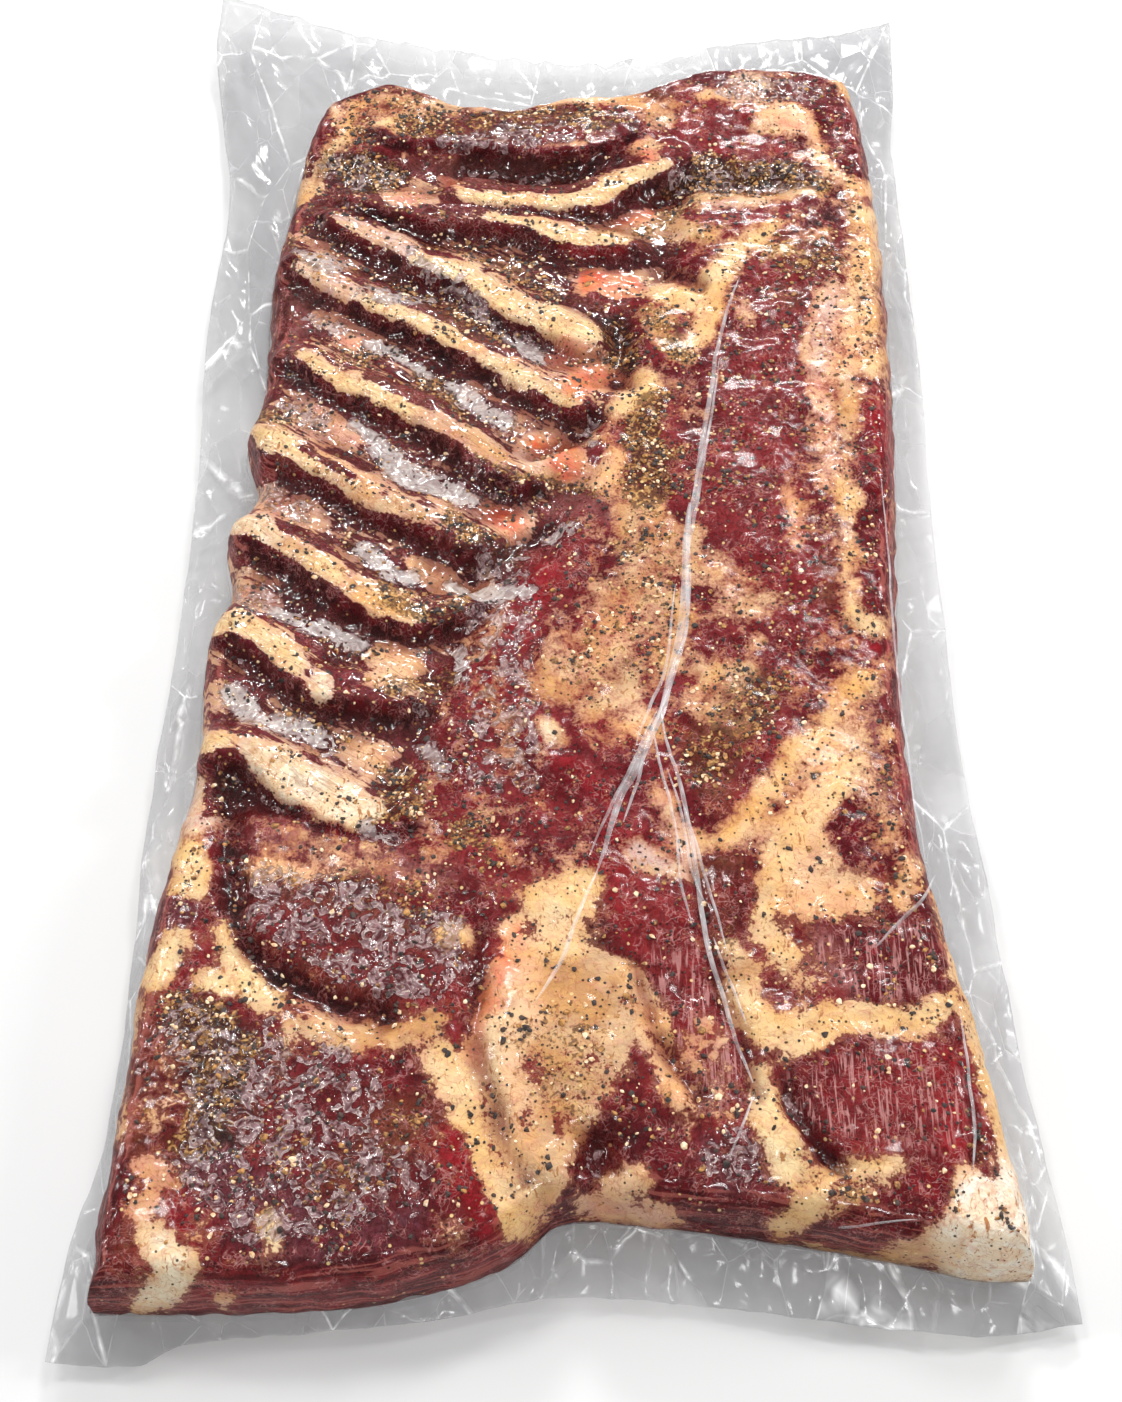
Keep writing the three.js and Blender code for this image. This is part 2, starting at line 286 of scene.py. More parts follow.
CHANNELS = [
    (5, 3, [(-40, 170, 2), (-12, 167, 2), (14, 168, 2)]),
    (5, 7, [(40, 154, 3), (60, 158, 3), (85, 158, 3)]),
    (4, 4, [(38, 113, 3), (46, 106, 3), (52, 100, 2)]),
    (5, 6, [(22, 80, 3), (24, 66, 3), (22, 54, 3)]),
    (4, 4, [(14, 36, 2), (4, 30, 3), (-8, 22, 2)]),
    (4, 4, [(-4, -12, 2), (-20, -22, 2), (-32, -38, 2)]),
    (4, 5, [(-106, -114, 2), (-104, -135, 2), (-100, -165, 2), (-88, -180, 2), (-72, -190, 2),
            (-52, -199, 2)]),
    (3, 3, [(-24, -172, 2), (-26, -192, 2), (-24, -214, 2), (-14, -240, 2), (-4, -258, 2)]),
    (2.5, 2.5, [(22, -182, 2), (30, -206, 2), (40, -222, 2)]),
    (3, 3, [(42, -150, 2), (50, -190, 2), (56, -222, 2)]),
    (4, 2.5, [(66, -222, 2), (72, -238, 2), (78, -243, 2)]),
    (9, 8, [(12, -240, 3), (14, -252, 3), (16, -262, 3)]),
    (3, 3, [(118, -205, 2), (119, -225, 2), (118, -240, 2)]),
    (3, 3, [(112, 0, 2), (111, -60, 2), (112, -120, 2)]),
]
KNOBS = [
    (3.0, (20, 99, 11)), (2.5, (9, 57, 11)), (2.5, (-2, 18, 9)), (2.0, (-20, -13, 7)),
    (2.5, (-56, -71, 8)), (2.0, (-62, -108, 7)), (1.5, (-78, 76, 6)), (2.5, (118, -256, 14)),
    (2.5, (62, -236, 8)), (2.5, (-110, -268, 10)), (1.5, (-60, 200, 12)), (1.5, (88, 196, 10)),
    (1.5, (58, 108, 8)),
]
SWELLS = [
    ((75, 30), (45, 120), 1.5), ((-75, -235), (60, 45), 3), ((88, -222), (30, 20), 2.5),
    ((5, -195), (26, 50), 2), ((-60, -165), (40, 22), 2), ((75, 205), (60, 20), 1.5),
    ((10, -60), (45, 60), -2), ((35, -190), (18, 60), -1),
]
print(len(RIDGES), "ridges,", len(CHANNELS), "channels,", len(KNOBS), "knobs,", len(SWELLS), "swells")


# %% The height of every place
def wander(xy, by):
    """Places moved about a little, so that drawn lines come out as uneven as grown ones."""
    p = np.concatenate([xy, np.zeros(xy.shape[:-1] + (1,))], axis=-1)
    return xy + by * np.stack([
        1.7 * noise(p, 17, 3) + 0.8 * noise(p, 6, 4), 1.7 * noise(p, 17, 5) + 0.8 * noise(p, 6, 6),
    ], axis=-1)


def rib_zone(xy):
    """1 where the ribs were, 0 on the flat parts, with a soft border."""
    x, y = xy[..., 0], xy[..., 1]
    inside = smooth((line_at(RIB_ZONE_EDGE, y) - x) / RIBS_BLEND + 0.5)
    return inside * smooth((y - RIBS_NEAR_END) / RIBS_BLEND)


def relief(xy):
    """Height of the rib side in mm above the floor."""
    x, y = xy[..., 0], xy[..., 1]
    z = np.full(x.shape, FLAT_HEIGHT)
    for at, size, rise in SWELLS:
        z += rise * bell((x - at[0]) / size[0]) * bell((y - at[1]) / size[1])
    z -= 0.75 * RIDGE_HEIGHT * rib_zone(xy) * smooth((178 - y) / 12)
    crest = np.zeros(x.shape)
    for line in RIDGES.values():
        away, side, half = from_line(bent(line), xy)
        wall = 1 - smooth((away - 0.6 * half) / 6)
        back = 1 - smooth((away - 0.5 * half) / 15)
        crest = np.maximum(crest, np.where(side > 0, wall, back))
    z += RIDGE_HEIGHT * crest * smooth((line_at(RIB_ZONE_EDGE, y) + 12 - x) / 16)
    for depth, reach, line in CHANNELS:
        z -= depth * bell(from_line(bent(line), xy)[0] / reach)
    for rise, (cx, cy, r) in KNOBS:
        z += rise * bell(np.hypot(x - cx, y - cy) / r)
    return z


drawn_xy = wander(top_xy, 1.0)
form_z = relief(drawn_xy)
print("relief from", form_z.min().round(1), "to", form_z.max().round(1), "mm")

# %% Lumps and fibres on top of the form
top_p = np.dstack([top_xy, np.zeros(top_xy.shape[:2])])
lumps = 0.9 * noise(top_p, 11, 11) + 0.55 * noise(top_p, 5.5, 12) + 0.35 * noise(top_p, 3.0, 13)
meat_z = np.minimum(form_z + lumps, HIGHEST_MEAT)
print("lumps of", round(float(lumps.std()), 2), "mm on the form")

# %% [markdown]
# ## How the film bridges the hollows
# Vacuum pulls the film down, but it is stiff: it spans each narrow valley and stands off the meat there.
# Juice fills that gap and looks milky. The span is found as a stretched sheet is: every point of
# the film moves to the mean of its neighbours, and never below the meat. Stopping after a few rounds
# leaves it part way, which is what the pull of the vacuum does. The gap then says where the juice is.

# %% Stretch the film over the meat
STRETCH_ROUNDS = 9


def mean_of_neighbours(z):
    w = np.pad(z, 1, mode="edge")
    return (w[:-2, 1:-1] + w[2:, 1:-1] + w[1:-1, :-2] + w[1:-1, 2:]) / 4


def stretch(z, rounds):
    """The height of a sheet that is pulled tight over a surface."""
    sheet = z.copy()
    for _ in range(rounds):
        sheet = np.maximum(mean_of_neighbours(sheet), z)
    return sheet


film_z = stretch(meat_z, STRETCH_ROUNDS)
gap = film_z - meat_z
print("film stands off by up to", gap.max().round(1), "mm")

# %% [markdown]
# ## Painting the meat
# The fields of fat and muscle are painted on the points of the mesh with some three hundred brush
# strokes, in the order in which they overlap. Every stroke is a bent line with a width. Seven layers are
# kept apart: how fat a place is, the colours of its fat and its muscle, how much juice and spice lie on it,
# whether its muscle is striped, and whether it belongs to the ribs. The material later sharpens the
# border of the fat with fine noise, so the strokes themselves may stay soft.

# %% The pigments
def linear(rgb):
    """A colour as seen on a screen, 0 to 255, turned into the light values that Blender works in."""
    c = np.array(rgb, float) / 255
    return np.where(c <= 0.04045, c / 12.92, ((c + 0.055) / 1.055) ** 2.4)


MUSCLE = {name: linear(rgb) for name, rgb in {
    "burgundy": (136, 42, 46), "wine": (102, 16, 26), "brown": (118, 64, 44), "dark": (60, 10, 16),
    "red": (152, 26, 36), "black": (40, 24, 22), "violet": (104, 52, 62), "mauve": (158, 98, 94),
}.items()}
FAT = {name: linear(rgb) for name, rgb in {
    "cream": (248, 222, 168), "butter": (246, 206, 144), "pale": (252, 240, 212), "gold": (236, 182, 112),
    "tan": (200, 150, 102), "peach": (244, 188, 142), "coral": (246, 98, 58), "pink": (222, 154, 136),
    "rose": (218, 188, 180), "ivory": (255, 250, 236),
}.items()}
print(len(MUSCLE), "kinds of muscle and", len(FAT), "of fat")

# %% The strokes, far end first
STROKES = [
    # far left corner and the left shoulder
    ("pink", [(-107, 205, 2.5), (-108, 165, 3), (-110, 130, 3), (-111, 92, 3)]),
    ("brown", [(-109, 190, 2), (-110, 160, 2.5), (-112, 120, 2)]),
    ("peach", [(-62, 213, 3), (-45, 206, 3), (-25, 201, 4), (0, 206, 4), (26, 207, 3)]),
    ("wine", [(-95, 205, 6), (-95, 190, 7), (-97, 175, 5)]),
    ("wine", [(-92, 208, 5), (-80, 208, 4), (-72, 209, 2)]),
    ("rose", [(-92, 200, 1), (-89, 192, 1.2), (-86, 184, 1)]),
    ("gold", [(-83, 200, 2.5), (-84, 186, 3), (-90, 174, 3.5), (-95, 160, 3), (-100, 149, 3),
        (-106, 137, 3)]),
    ("tan", [(-76, 204, 5), (-62, 203, 7), (-50, 200, 6), (-74, 194, 5)]),
    ("brown", [(-70, 210, 3), (-56, 208, 3), (-80, 192, 2)]),
    ("butter", [(-70, 191, 3), (-64, 190, 2.5)]),
    ("wine", [(-98, 140, 6), (-99, 128, 6), (-97, 116, 5), (-103, 100, 6), (-105, 76, 6),
        (-103, 58, 5)]),
    ("pink", [(-101, 126, 2.5), (-91, 119, 3)]),
    ("rose", [(-97, 114, 3), (-88, 110, 3.5)]),
    ("mauve", [(-100, 96, 2), (-97, 84, 3), (-100, 70, 2)]),
    # the muscle band of the far end
    ("brown", [(-60, 186, 7), (-35, 187, 8), (-5, 190, 9), (16, 190, 8)]),
    ("wine", [(-52, 186, 3), (-28, 190, 4), (-4, 196, 4), (16, 192, 4)]),
    ("red", [(-10, 182, 2), (8, 186, 2.5)]),
    ("rose", [(-44, 177, 1.5), (-26, 176, 2), (-8, 173, 1.5), (8, 175, 2)]),
    ("wine", [(26, 192, 5), (22, 178, 5), (24, 170, 4)]),
    ("black", [(-36, 170, 2), (-12, 166.5, 2.5), (16, 167, 2)]),
    ("mauve", [(-52, 164, 5), (-30, 160, 7), (-5, 159, 7), (12, 157, 5)]),
    ("brown", [(-44, 166, 3), (-20, 162, 3), (6, 162, 3)]),
    ("black", [(-86, 167, 6), (-74, 164, 8), (-66, 156, 7), (-86, 157, 5)]),
    ("coral", [(-47, 160, 2), (-40, 155, 1.6)]),
    # far right corner
    ("tan", [(34, 208, 6), (40, 198, 6), (42, 188, 5), (36, 178, 4)]),
    ("brown", [(36, 212, 4), (44, 206, 4), (30, 196, 3)]),
    ("burgundy", [(50, 214, 5), (58, 198, 7), (62, 190, 8), (50, 182, 7), (38, 186, 4)]),
    ("wine", [(56, 218, 5), (68, 217, 4)]),
    ("peach", [(34, 201, 3), (40, 200, 3)]),
    ("peach", [(60, 208, 3), (66, 207, 3)]),
    ("coral", [(31, 178, 3), (35, 171, 3.5)]),
    ("red", [(56, 177, 3), (66, 171, 4), (74, 164, 3)]),
    ("rose", [(74, 216, 4), (76, 208, 4), (74, 202, 4)]),
    ("peach", [(82, 213, 3), (88, 212, 3)]),
    ("peach", [(80, 190, 5), (92, 198, 6), (94, 190, 7), (100, 188, 5), (84, 184, 4)]),
    ("coral", [(92, 191, 2.5), (97, 188, 2)]),
    ("red", [(76, 199, 3.2)]),
    ("brown", [(90, 216, 3), (91, 206, 4)]),
    ("mauve", [(96, 214, 2.5), (97, 206, 3)]),
    ("wine", [(102, 216, 5), (105, 210, 6), (108, 204, 6)]),
    ("gold", [(115, 216, 3), (117, 206, 3)]),
    ("wine", [(108, 203, 7), (114, 188, 8), (116, 172, 8), (114, 160, 6)]),
    ("tan", [(119, 216, 3), (124, 204, 3), (126, 185, 2)]),
    ("peach", [(103, 180, 2.5), (105, 170, 2.5), (110, 160, 3), (117, 153, 4), (124, 150, 3)]),
    ("burgundy", [(44, 176, 5), (58, 178, 5), (74, 178, 5), (90, 178, 4)]),
    ("wine", [(52, 168, 5), (62, 166, 4)]),
    ("black", [(44, 152, 6), (54, 159, 8), (70, 160, 8), (86, 163, 7), (98, 161, 5)]),
    ("tan", [(52, 145, 3), (62, 147, 4), (82, 149, 4), (98, 150, 4)]),
    ("rose", [(60, 141, 2), (70, 143, 3), (78, 144, 2)]),
    ("burgundy", [(52, 134, 3), (62, 138, 3), (74, 138, 3), (86, 142, 2), (98, 146, 3)]),
    ("black", [(90, 128, 3), (100, 134, 4), (110, 140, 4)]),
    ("coral", [(24, 136, 4), (33, 138, 4), (42, 142, 3)]),
    ("red", [(26, 146, 3), (34, 149, 4), (39, 151, 3)]),
    ("tan", [(12, 134, 2), (26, 128, 4), (44, 131, 4), (56, 126, 4)]),
    ("wine", [(28, 120, 3), (38, 114, 4), (48, 110, 4), (56, 112, 4), (60, 119, 3)]),
    ("rose", [(35, 106, 4), (40, 101, 3)]),
    # the golden fat beside the right muscle
    ("butter", [(40, 95, 5), (50, 92, 7), (56, 100, 5), (62, 107, 4), (70, 121, 5), (77, 126, 5),
        (82, 131, 4)]),
    ("gold", [(56, 90, 5), (54, 80, 6), (50, 72, 5)]),
    ("tan", [(38, 84, 4), (36, 77, 3), (46, 65, 4)]),
    ("black", [(18, 84, 5), (22, 74, 6), (26, 64, 6), (22, 56, 3)]),
    ("violet", [(24, 66, 3), (22, 60, 2)]),
    ("butter", [(34, 54, 3), (29, 46, 5), (24, 36, 4)]),
    ("tan", [(86, 122, 7), (98, 122, 7), (82, 112, 4)]),
    ("brown", [(92, 112, 8), (104, 118, 5), (86, 126, 4)]),
    # the right muscle and the rim beyond it
    ("burgundy", [(82, 98, 13), (76, 76, 15), (74, 50, 19), (68, 20, 20), (66, -8, 19), (72, -36, 18),
        (80, -56, 8)]),
    ("brown", [(86, 94, 6)]),
    ("pink", [(68, 90, 1.5), (70, 84, 2)]),
    ("pink", [(79, 2, 1.5), (82, -10, 2), (80, -22, 1.5)]),
    ("tan", [(58, -38, 4), (66, -46, 3), (50, -30, 3)]),
    ("pink", [(101, 98, 4), (98, 84, 5), (95, 66, 5), (96, 46, 5), (95, 26, 4), (94, 6, 3)]),
    ("rose", [(100, 92, 2.5), (96, 74, 2.5), (94, 56, 2.5)]),
    ("butter", [(117, 138, 5), (117, 116, 6), (115, 96, 6), (114, 76, 5), (114, 58, 4)]),
    ("peach", [(108, 80, 4), (106, 62, 4), (100, 52, 3)]),
    ("wine", [(122, 102, 2.5), (122, 84, 2)]),
    ("tan", [(106, 48, 4), (103, 36, 4), (101, 20, 3)]),
    ("red", [(115, 42, 3.5), (113, 22, 4.5), (114, 4, 4)]),
    ("wine", [(107, 26, 3), (107, 14, 3)]),
    ("butter", [(100, 4, 3), (103, -2, 3.5), (101, -20, 2.5), (97, -34, 2.5), (99, -50, 3.5),
        (105, -56, 3)]),
    ("wine", [(108, -12, 5), (107, -28, 5), (105, -43, 4)]),
    ("red", [(104, -65, 3), (110, -63, 3)]),
    ("brown", [(92, -28, 3), (90, -44, 4)]),
    # the middle of the slab
    ("peach", [(20, 17, 4), (15, 8, 5), (11, 1, 4)]),
    ("brown", [(32, 38, 5), (30, 24, 8), (32, 10, 8), (30, -2, 5)]),
    ("mauve", [(-3, -6, 4), (8, -3, 5), (15, -9, 4)]),
    ("tan", [(24, -10, 5), (34, -18, 9), (31, -42, 9), (22, -60, 8), (6, -70, 8), (-5, -80, 6)]),
    ("tan", [(12, -86, 6), (28, -76, 6), (40, -48, 6), (43, -20, 5)]),
    ("peach", [(24, -50, 3), (14, -68, 3), (2, -76, 3)]),
    ("burgundy", [(27, -54, 2.5), (28, -66, 3), (28, -78, 2)]),
    ("burgundy", [(8, -56, 3), (2, -64, 3)]),
    ("burgundy", [(40, -22, 2), (38, -36, 2.5), (46, -44, 3)]),
    ("peach", [(20, -98, 3), (26, -90, 3), (30, -100, 2)]),
    ("tan", [(-4, -98, 3), (-5, -108, 3)]),
    ("pale", [(-5, -96, 1.8), (-6, -106, 2)]),
    ("burgundy", [(-8, -28, 6), (2, -38, 7), (-14, -50, 7), (-20, -70, 8), (-26, -95, 9),
        (-16, -115, 9)]),
    ("wine", [(-22, -88, 5), (-12, -110, 5), (6, -120, 5), (14, -128, 5)]),
    ("burgundy", [(8, -98, 5), (16, -98, 5), (14, -112, 6)]),
    ("red", [(-14, -62, 2.5), (-4, -32, 2.5), (-24, -84, 2.5), (16, -124, 3), (14, -142, 3)]),
    ("brown", [(60, -80, 10), (55, -95, 12), (46, -106, 8), (56, -122, 9)]),
    ("tan", [(50, -78, 6), (60, -74, 4), (46, -92, 4)]),
    ("burgundy", [(64, -110, 7), (60, -128, 6), (72, -100, 5)]),
    ("wine", [(76, -62, 5), (70, -68, 4)]),
    ("gold", [(98, -78, 5), (92, -90, 6), (84, -98, 4), (56, -134, 4), (46, -138, 3)]),
    ("peach", [(98, -96, 8), (92, -108, 9), (84, -116, 6), (76, -132, 7), (78, -146, 9), (70, -156, 8),
        (88, -156, 7)]),
    ("butter", [(104, -100, 5), (92, -112, 5), (72, -138, 4), (66, -152, 4), (62, -166, 4),
        (68, -176, 5)]),
    ("wine", [(97, -122, 4), (92, -132, 6), (100, -143, 6)]),
    ("mauve", [(102, -112, 3), (103, -126, 2), (100, -88, 3)]),
    ("red", [(112, -72, 2.5), (111, -90, 2), (111, -128, 2.5), (110, -140, 2.5)]),
    ("peach", [(108, -148, 4), (104, -158, 3)]),
    ("brown", [(52, -148, 6), (54, -160, 6), (50, -171, 4)]),
    ("wine", [(56, -154, 3), (56, -166, 3)]),
    # the strip between the two halves of the thick end
    ("burgundy", [(28, -118, 5), (24, -132, 7), (20, -150, 6), (26, -165, 9), (32, -178, 8),
        (37, -192, 7), (42, -206, 9), (47, -220, 7), (48, -232, 5)]),
    ("red", [(10, -150, 3), (16, -138, 3), (18, -158, 3), (20, -172, 2.5)]),
    ("rose", [(24, -142, 5), (30, -147, 4), (36, -150, 2)]),
    ("pink", [(32, -122, 3), (38, -136, 3), (40, -150, 2.5)]),
    ("pink", [(42, -200, 1.5), (37, -212, 1.5), (46, -206, 1.5)]),
    ("peach", [(22, -202, 2), (29, -212, 2.5), (35, -224, 3)]),
    ("peach", [(20, -184, 3), (27, -196, 3), (32, -206, 2)]),
    # the fan of fat
    ("tan", [(3, -186, 13), (6, -206, 14), (4, -222, 11), (-2, -240, 8), (-6, -252, 5)]),
    ("butter", [(-6, -158, 6), (4, -156, 7), (-8, -168, 7), (2, -172, 8)]),
    ("cream", [(4, -154, 4), (8, -162, 3), (-2, -162, 4)]),
    ("peach", [(-13, -180, 6), (-12, -200, 5), (-16, -218, 4), (-12, -238, 4)]),
    ("coral", [(-14, -170, 2.5), (-20, -182, 4), (-22, -196, 3.5), (-24, -210, 3)]),
    ("cream", [(-20, -200, 2), (-21, -218, 2), (-17, -234, 2), (-10, -250, 2)]),
    ("butter", [(-34, -210, 5), (-30, -222, 6), (-26, -236, 6), (-20, -248, 5), (-14, -260, 5)]),
    ("red", [(-26, -172, 3), (-20, -176, 3), (-28, -182, 2)]),
    ("black", [(11, -168, 3), (9, -173, 2)]),
    ("wine", [(20, -224, 3.5), (17, -232, 6), (12, -240, 7), (5, -249, 4), (-2, -258, 3)]),
    ("wine", [(25, -236, 5), (30, -246, 6), (38, -254, 5), (50, -261, 3), (62, -264, 2)]),
    ("dark", [(22, -236, 3), (20, -242, 4)]),
    ("red", [(10, -243, 3), (16, -242, 3)]),
    ("peach", [(14, -249, 3.5), (22, -247, 3)]),
    ("pink", [(6, -254, 3), (16, -256, 3), (28, -258, 3)]),
    # the wedge, the band and the muscles of the near right corner
    ("cream", [(57, -215, 2), (59, -226, 4), (62, -236, 6), (64, -244, 5)]),
    ("butter", [(54, -188, 3), (57, -198, 6), (66, -204, 7), (80, -199, 5.5), (96, -198, 4.5),
        (110, -196, 4.5), (116, -192, 3)]),
    ("tan", [(52, -176, 3), (56, -184, 4)]),
    ("wine", [(86, -172, 7), (99, -178, 9), (110, -172, 7), (112, -186, 5), (97, -187, 5),
        (84, -184, 4)]),
    ("mauve", [(78, -178, 4), (84, -188, 3), (80, -170, 3)]),
    ("burgundy", [(76, -222, 9), (92, -221, 14), (100, -228, 11), (76, -232, 7)]),
    ("wine", [(70, -218, 5), (70, -226, 4), (84, -210, 4)]),
    ("red", [(113, -206, 4.5), (114, -222, 4.5), (113, -236, 4)]),
    ("violet", [(50, -243, 6), (48, -250, 5), (42, -240, 4)]),
    ("butter", [(94, -243, 3), (82, -244, 3), (74, -248, 3.5), (67, -256, 4), (61, -261, 2.5)]),
    ("wine", [(106, -249, 6), (99, -256, 8), (86, -259, 5), (72, -264, 3)]),
    ("tan", [(80, -252, 4)]),
    ("tan", [(55, -269, 2), (84, -270, 2.5), (104, -268, 3)]),
    ("ivory", [(108, -264, 4), (117, -253, 7), (124, -258, 9), (128, -268, 7), (116, -266, 7),
        (128, -244, 4)]),
    ("ivory", [(132, -250, 4), (138, -262, 6), (136, -276, 6), (122, -278, 5), (108, -274, 3)]),
    ("butter", [(119, -160, 3), (121, -180, 3.5), (124, -200, 4), (127, -218, 5), (130, -236, 5)]),
    # the near left block
    ("wine", [(-112, -122, 5), (-104, -140, 6), (-102, -156, 7), (-98, -170, 6)]),
    ("black", [(-106, -124, 3), (-101, -150, 4), (-99, -168, 4)]),
    ("rose", [(-116, -120, 3), (-116, -132, 3), (-106, -130, 2)]),
    ("butter", [(-116, -142, 5), (-116, -153, 6)]),
    ("cream", [(-114, -146, 3), (-114, -152, 3)]),
    ("violet", [(-118, -164, 5)]),
    ("cream", [(-118, -173, 4), (-121, -184, 5)]),
    ("brown", [(-78, -160, 10), (-58, -164, 14), (-70, -178, 8), (-50, -184, 10), (-36, -178, 9)]),
    ("burgundy", [(-64, -180, 6), (-46, -186, 7), (-34, -186, 6), (-86, -166, 5), (-60, -168, 5)]),
    ("peach", [(-96, -150, 2), (-86, -148, 4), (-72, -149, 5), (-60, -141, 4)]),
    ("mauve", [(-90, -136, 5), (-50, -146, 5), (-38, -152, 5)]),
    ("wine", [(-76, -156, 3), (-68, -154, 2.5), (-40, -164, 4), (-32, -160, 4)]),
    ("gold", [(-36, -171, 3), (-29, -173, 2.5)]),
    ("cream", [(-103, -172, 3), (-99, -178, 6), (-91, -184, 6), (-84, -189, 4), (-104, -186, 5)]),
    ("pink", [(-76, -192, 3), (-64, -198, 2)]),
    ("black", [(-98, -172, 2), (-90, -180, 3), (-78, -187, 3), (-66, -193, 2.5), (-52, -199, 2)]),
    ("brown", [(-108, -200, 9), (-100, -218, 12), (-104, -236, 9)]),
    ("wine", [(-66, -214, 8), (-70, -230, 12), (-48, -216, 7)]),
    ("tan", [(-80, -200, 2), (-62, -204, 3.5), (-48, -204, 3), (-37, -201, 3)]),
    ("black", [(-110, -196, 5), (-100, -204, 7), (-106, -212, 5), (-97, -234, 6)]),
    ("brown", [(-50, -232, 9), (-38, -228, 6), (-60, -246, 8)]),
    ("violet", [(-96, -246, 9), (-74, -262, 11), (-48, -262, 9)]),
    ("red", [(-30, -236, 4), (-26, -250, 4), (-22, -262, 3)]),
    ("burgundy", [(-104, -272, 5), (-84, -278, 7), (-60, -282, 7), (-36, -278, 7), (-16, -270, 5)]),
    ("tan", [(-127, -196, 4), (-127, -214, 4), (-126, -232, 3)]),
    ("wine", [(-130, -246, 5), (-128, -262, 5), (-128, -278, 6), (-118, -284, 5)]),
    ("brown", [(-122, -200, 3), (-124, -220, 4), (-122, -236, 3)]),
    ("pink", [(-119, -243, 3), (-112, -248, 4), (-120, -256, 3)]),
    ("red", [(-112, -252, 3), (-106, -260, 3)]),
    ("brown", [(-120, -262, 3), (-124, -270, 2)]),
    ("pale", [(-116, -262, 3), (-110, -267, 6), (-107, -275, 6), (-114, -281, 4)]),
    ("cream", [(-82, -258, 2), (-79, -266, 2.5)]),
    ("red", [(-99, -280, 4), (-90, -284, 4)]),
    ("pink", [(-92, -281, 2)]),
]
print(len(STROKES), "strokes before the ridges")

# %% What lies on the ridges: crests, knobs and the patches in the valleys
CRESTS = [
    ("tan", [(-66, 186, 3)]),
    ("cream", [(-37, 148, 3), (-16, 146, 4), (4, 145, 4.5), (18, 152, 5), (32, 160, 4), (42, 165, 2)]),
    ("pink", [(-68, 150, 4), (-56, 148, 4), (-49, 147, 2)]),
    ("cream", [(-25, 136, 3), (-12, 132, 4), (4, 126, 4.5), (14, 123, 4), (24, 121, 2)]),
    ("red", [(0, 118, 2), (10, 116, 3), (22, 115, 2.5)]),
    ("rose", [(-86, 136, 2), (-78, 130, 4), (-67, 123, 4.5), (-56, 116, 3.5)]),
    ("cream", [(-52, 113, 4), (-38, 105, 5), (-26, 96, 5.5), (-14, 88, 6), (0, 80, 7), (10, 74, 6)]),
    ("rose", [(-98, 110, 3), (-89, 102, 4), (-80, 95, 4)]),
    ("cream", [(-74, 92, 3), (-64, 87, 4.5), (-51, 81, 4.5), (-41, 74, 4.5), (-34, 69, 3)]),
    ("peach", [(-34, 69, 3.5), (-27, 62, 4)]),
    ("cream", [(-25, 60, 4), (-17, 55, 4), (-8, 49, 3.5), (2, 42, 3)]),
    ("brown", [(-56, 90, 1.5), (-44, 84, 2), (-32, 75, 2), (-20, 66, 2)]),
    ("pink", [(-92, 84, 3), (-81, 79, 4), (-72, 71, 4)]),
    ("coral", [(-84, 74, 2), (-76, 70, 2)]),
    ("cream", [(-96, 64, 2), (-90, 59, 3.5), (-79, 52, 4.5), (-65, 44, 5), (-53, 37, 4)]),
    ("pink", [(-50, 35, 3), (-40, 28, 2.5), (-30, 20, 2)]),
    ("tan", [(-42, 32, 2), (-32, 25, 3), (-22, 16, 3)]),
    ("brown", [(-72, 54, 1.5), (-60, 47, 2), (-48, 40, 2)]),
    ("cream", [(-110, 29, 2.5), (-104, 24, 5), (-94, 17, 4.5), (-84, 9, 3.5)]),
    ("peach", [(-84, 17, 2.5), (-74, 9, 3), (-66, 1, 3)]),
    ("tan", [(-84, 8, 2.5), (-74, 1, 3), (-62, -6, 3)]),
    ("wine", [(-92, 19, 1.5), (-83, 13, 2), (-73, 6, 1.5)]),
    ("tan", [(-58, -5, 4), (-48, -10, 4)]),
    ("pale", [(-117, -15, 3), (-107, -14, 4.5), (-99, -19, 4)]),
    ("tan", [(-94, -23, 4), (-86, -29, 4)]),
    ("cream", [(-84, -31, 4.5), (-78, -35, 4)]),
    ("gold", [(-70, -40, 4), (-60, -47, 5), (-50, -52, 4)]),
    ("peach", [(-49, -31, 4), (-40, -38, 4), (-26, -42, 3)]),
    ("cream", [(-119, -58, 3), (-109, -55, 4), (-99, -61, 5), (-91, -68, 4.5), (-86, -72, 3)]),
    ("pale", [(-78, -79, 5), (-77, -84, 3)]),
    ("peach", [(-58, -66, 5), (-52, -73, 6), (-60, -78, 3)]),
    ("cream", [(-119, -104, 3), (-110, -102, 4)]),
    ("pale", [(-99, -105, 4), (-91, -112, 7), (-80, -120, 7.5), (-69, -126, 7), (-62, -128, 5)]),
    ("peach", [(-66, -105, 4), (-60, -109, 5)]),
    ("coral", [(14, 101, 7), (24, 100, 7)]),
    ("red", [(12, 94, 2.5), (19, 91, 2.5), (27, 92, 2)]),
    ("coral", [(4, 64, 7), (11, 56, 9), (6, 49, 5)]),
    ("butter", [(12, 62, 2)]),
    ("peach", [(-2, 14, 8), (-10, 24, 5)]),
    ("coral", [(-8, 21, 7), (0, 18, 8), (4, 12, 5)]),
    ("peach", [(-26, -8, 4), (-14, -16, 5)]),
    ("coral", [(-22, -11, 5), (-15, -15, 5)]),
    ("rose", [(-8, 14, 3), (-14, 20, 3)]),
    ("pink", [(-103, -1, 4), (-92, -8, 4), (-82, -13, 3)]),
    ("pink", [(-110, -42, 3), (-98, -46, 3)]),
    ("pink", [(-96, 36, 4), (-84, 34, 4), (-74, 26, 3)]),
]
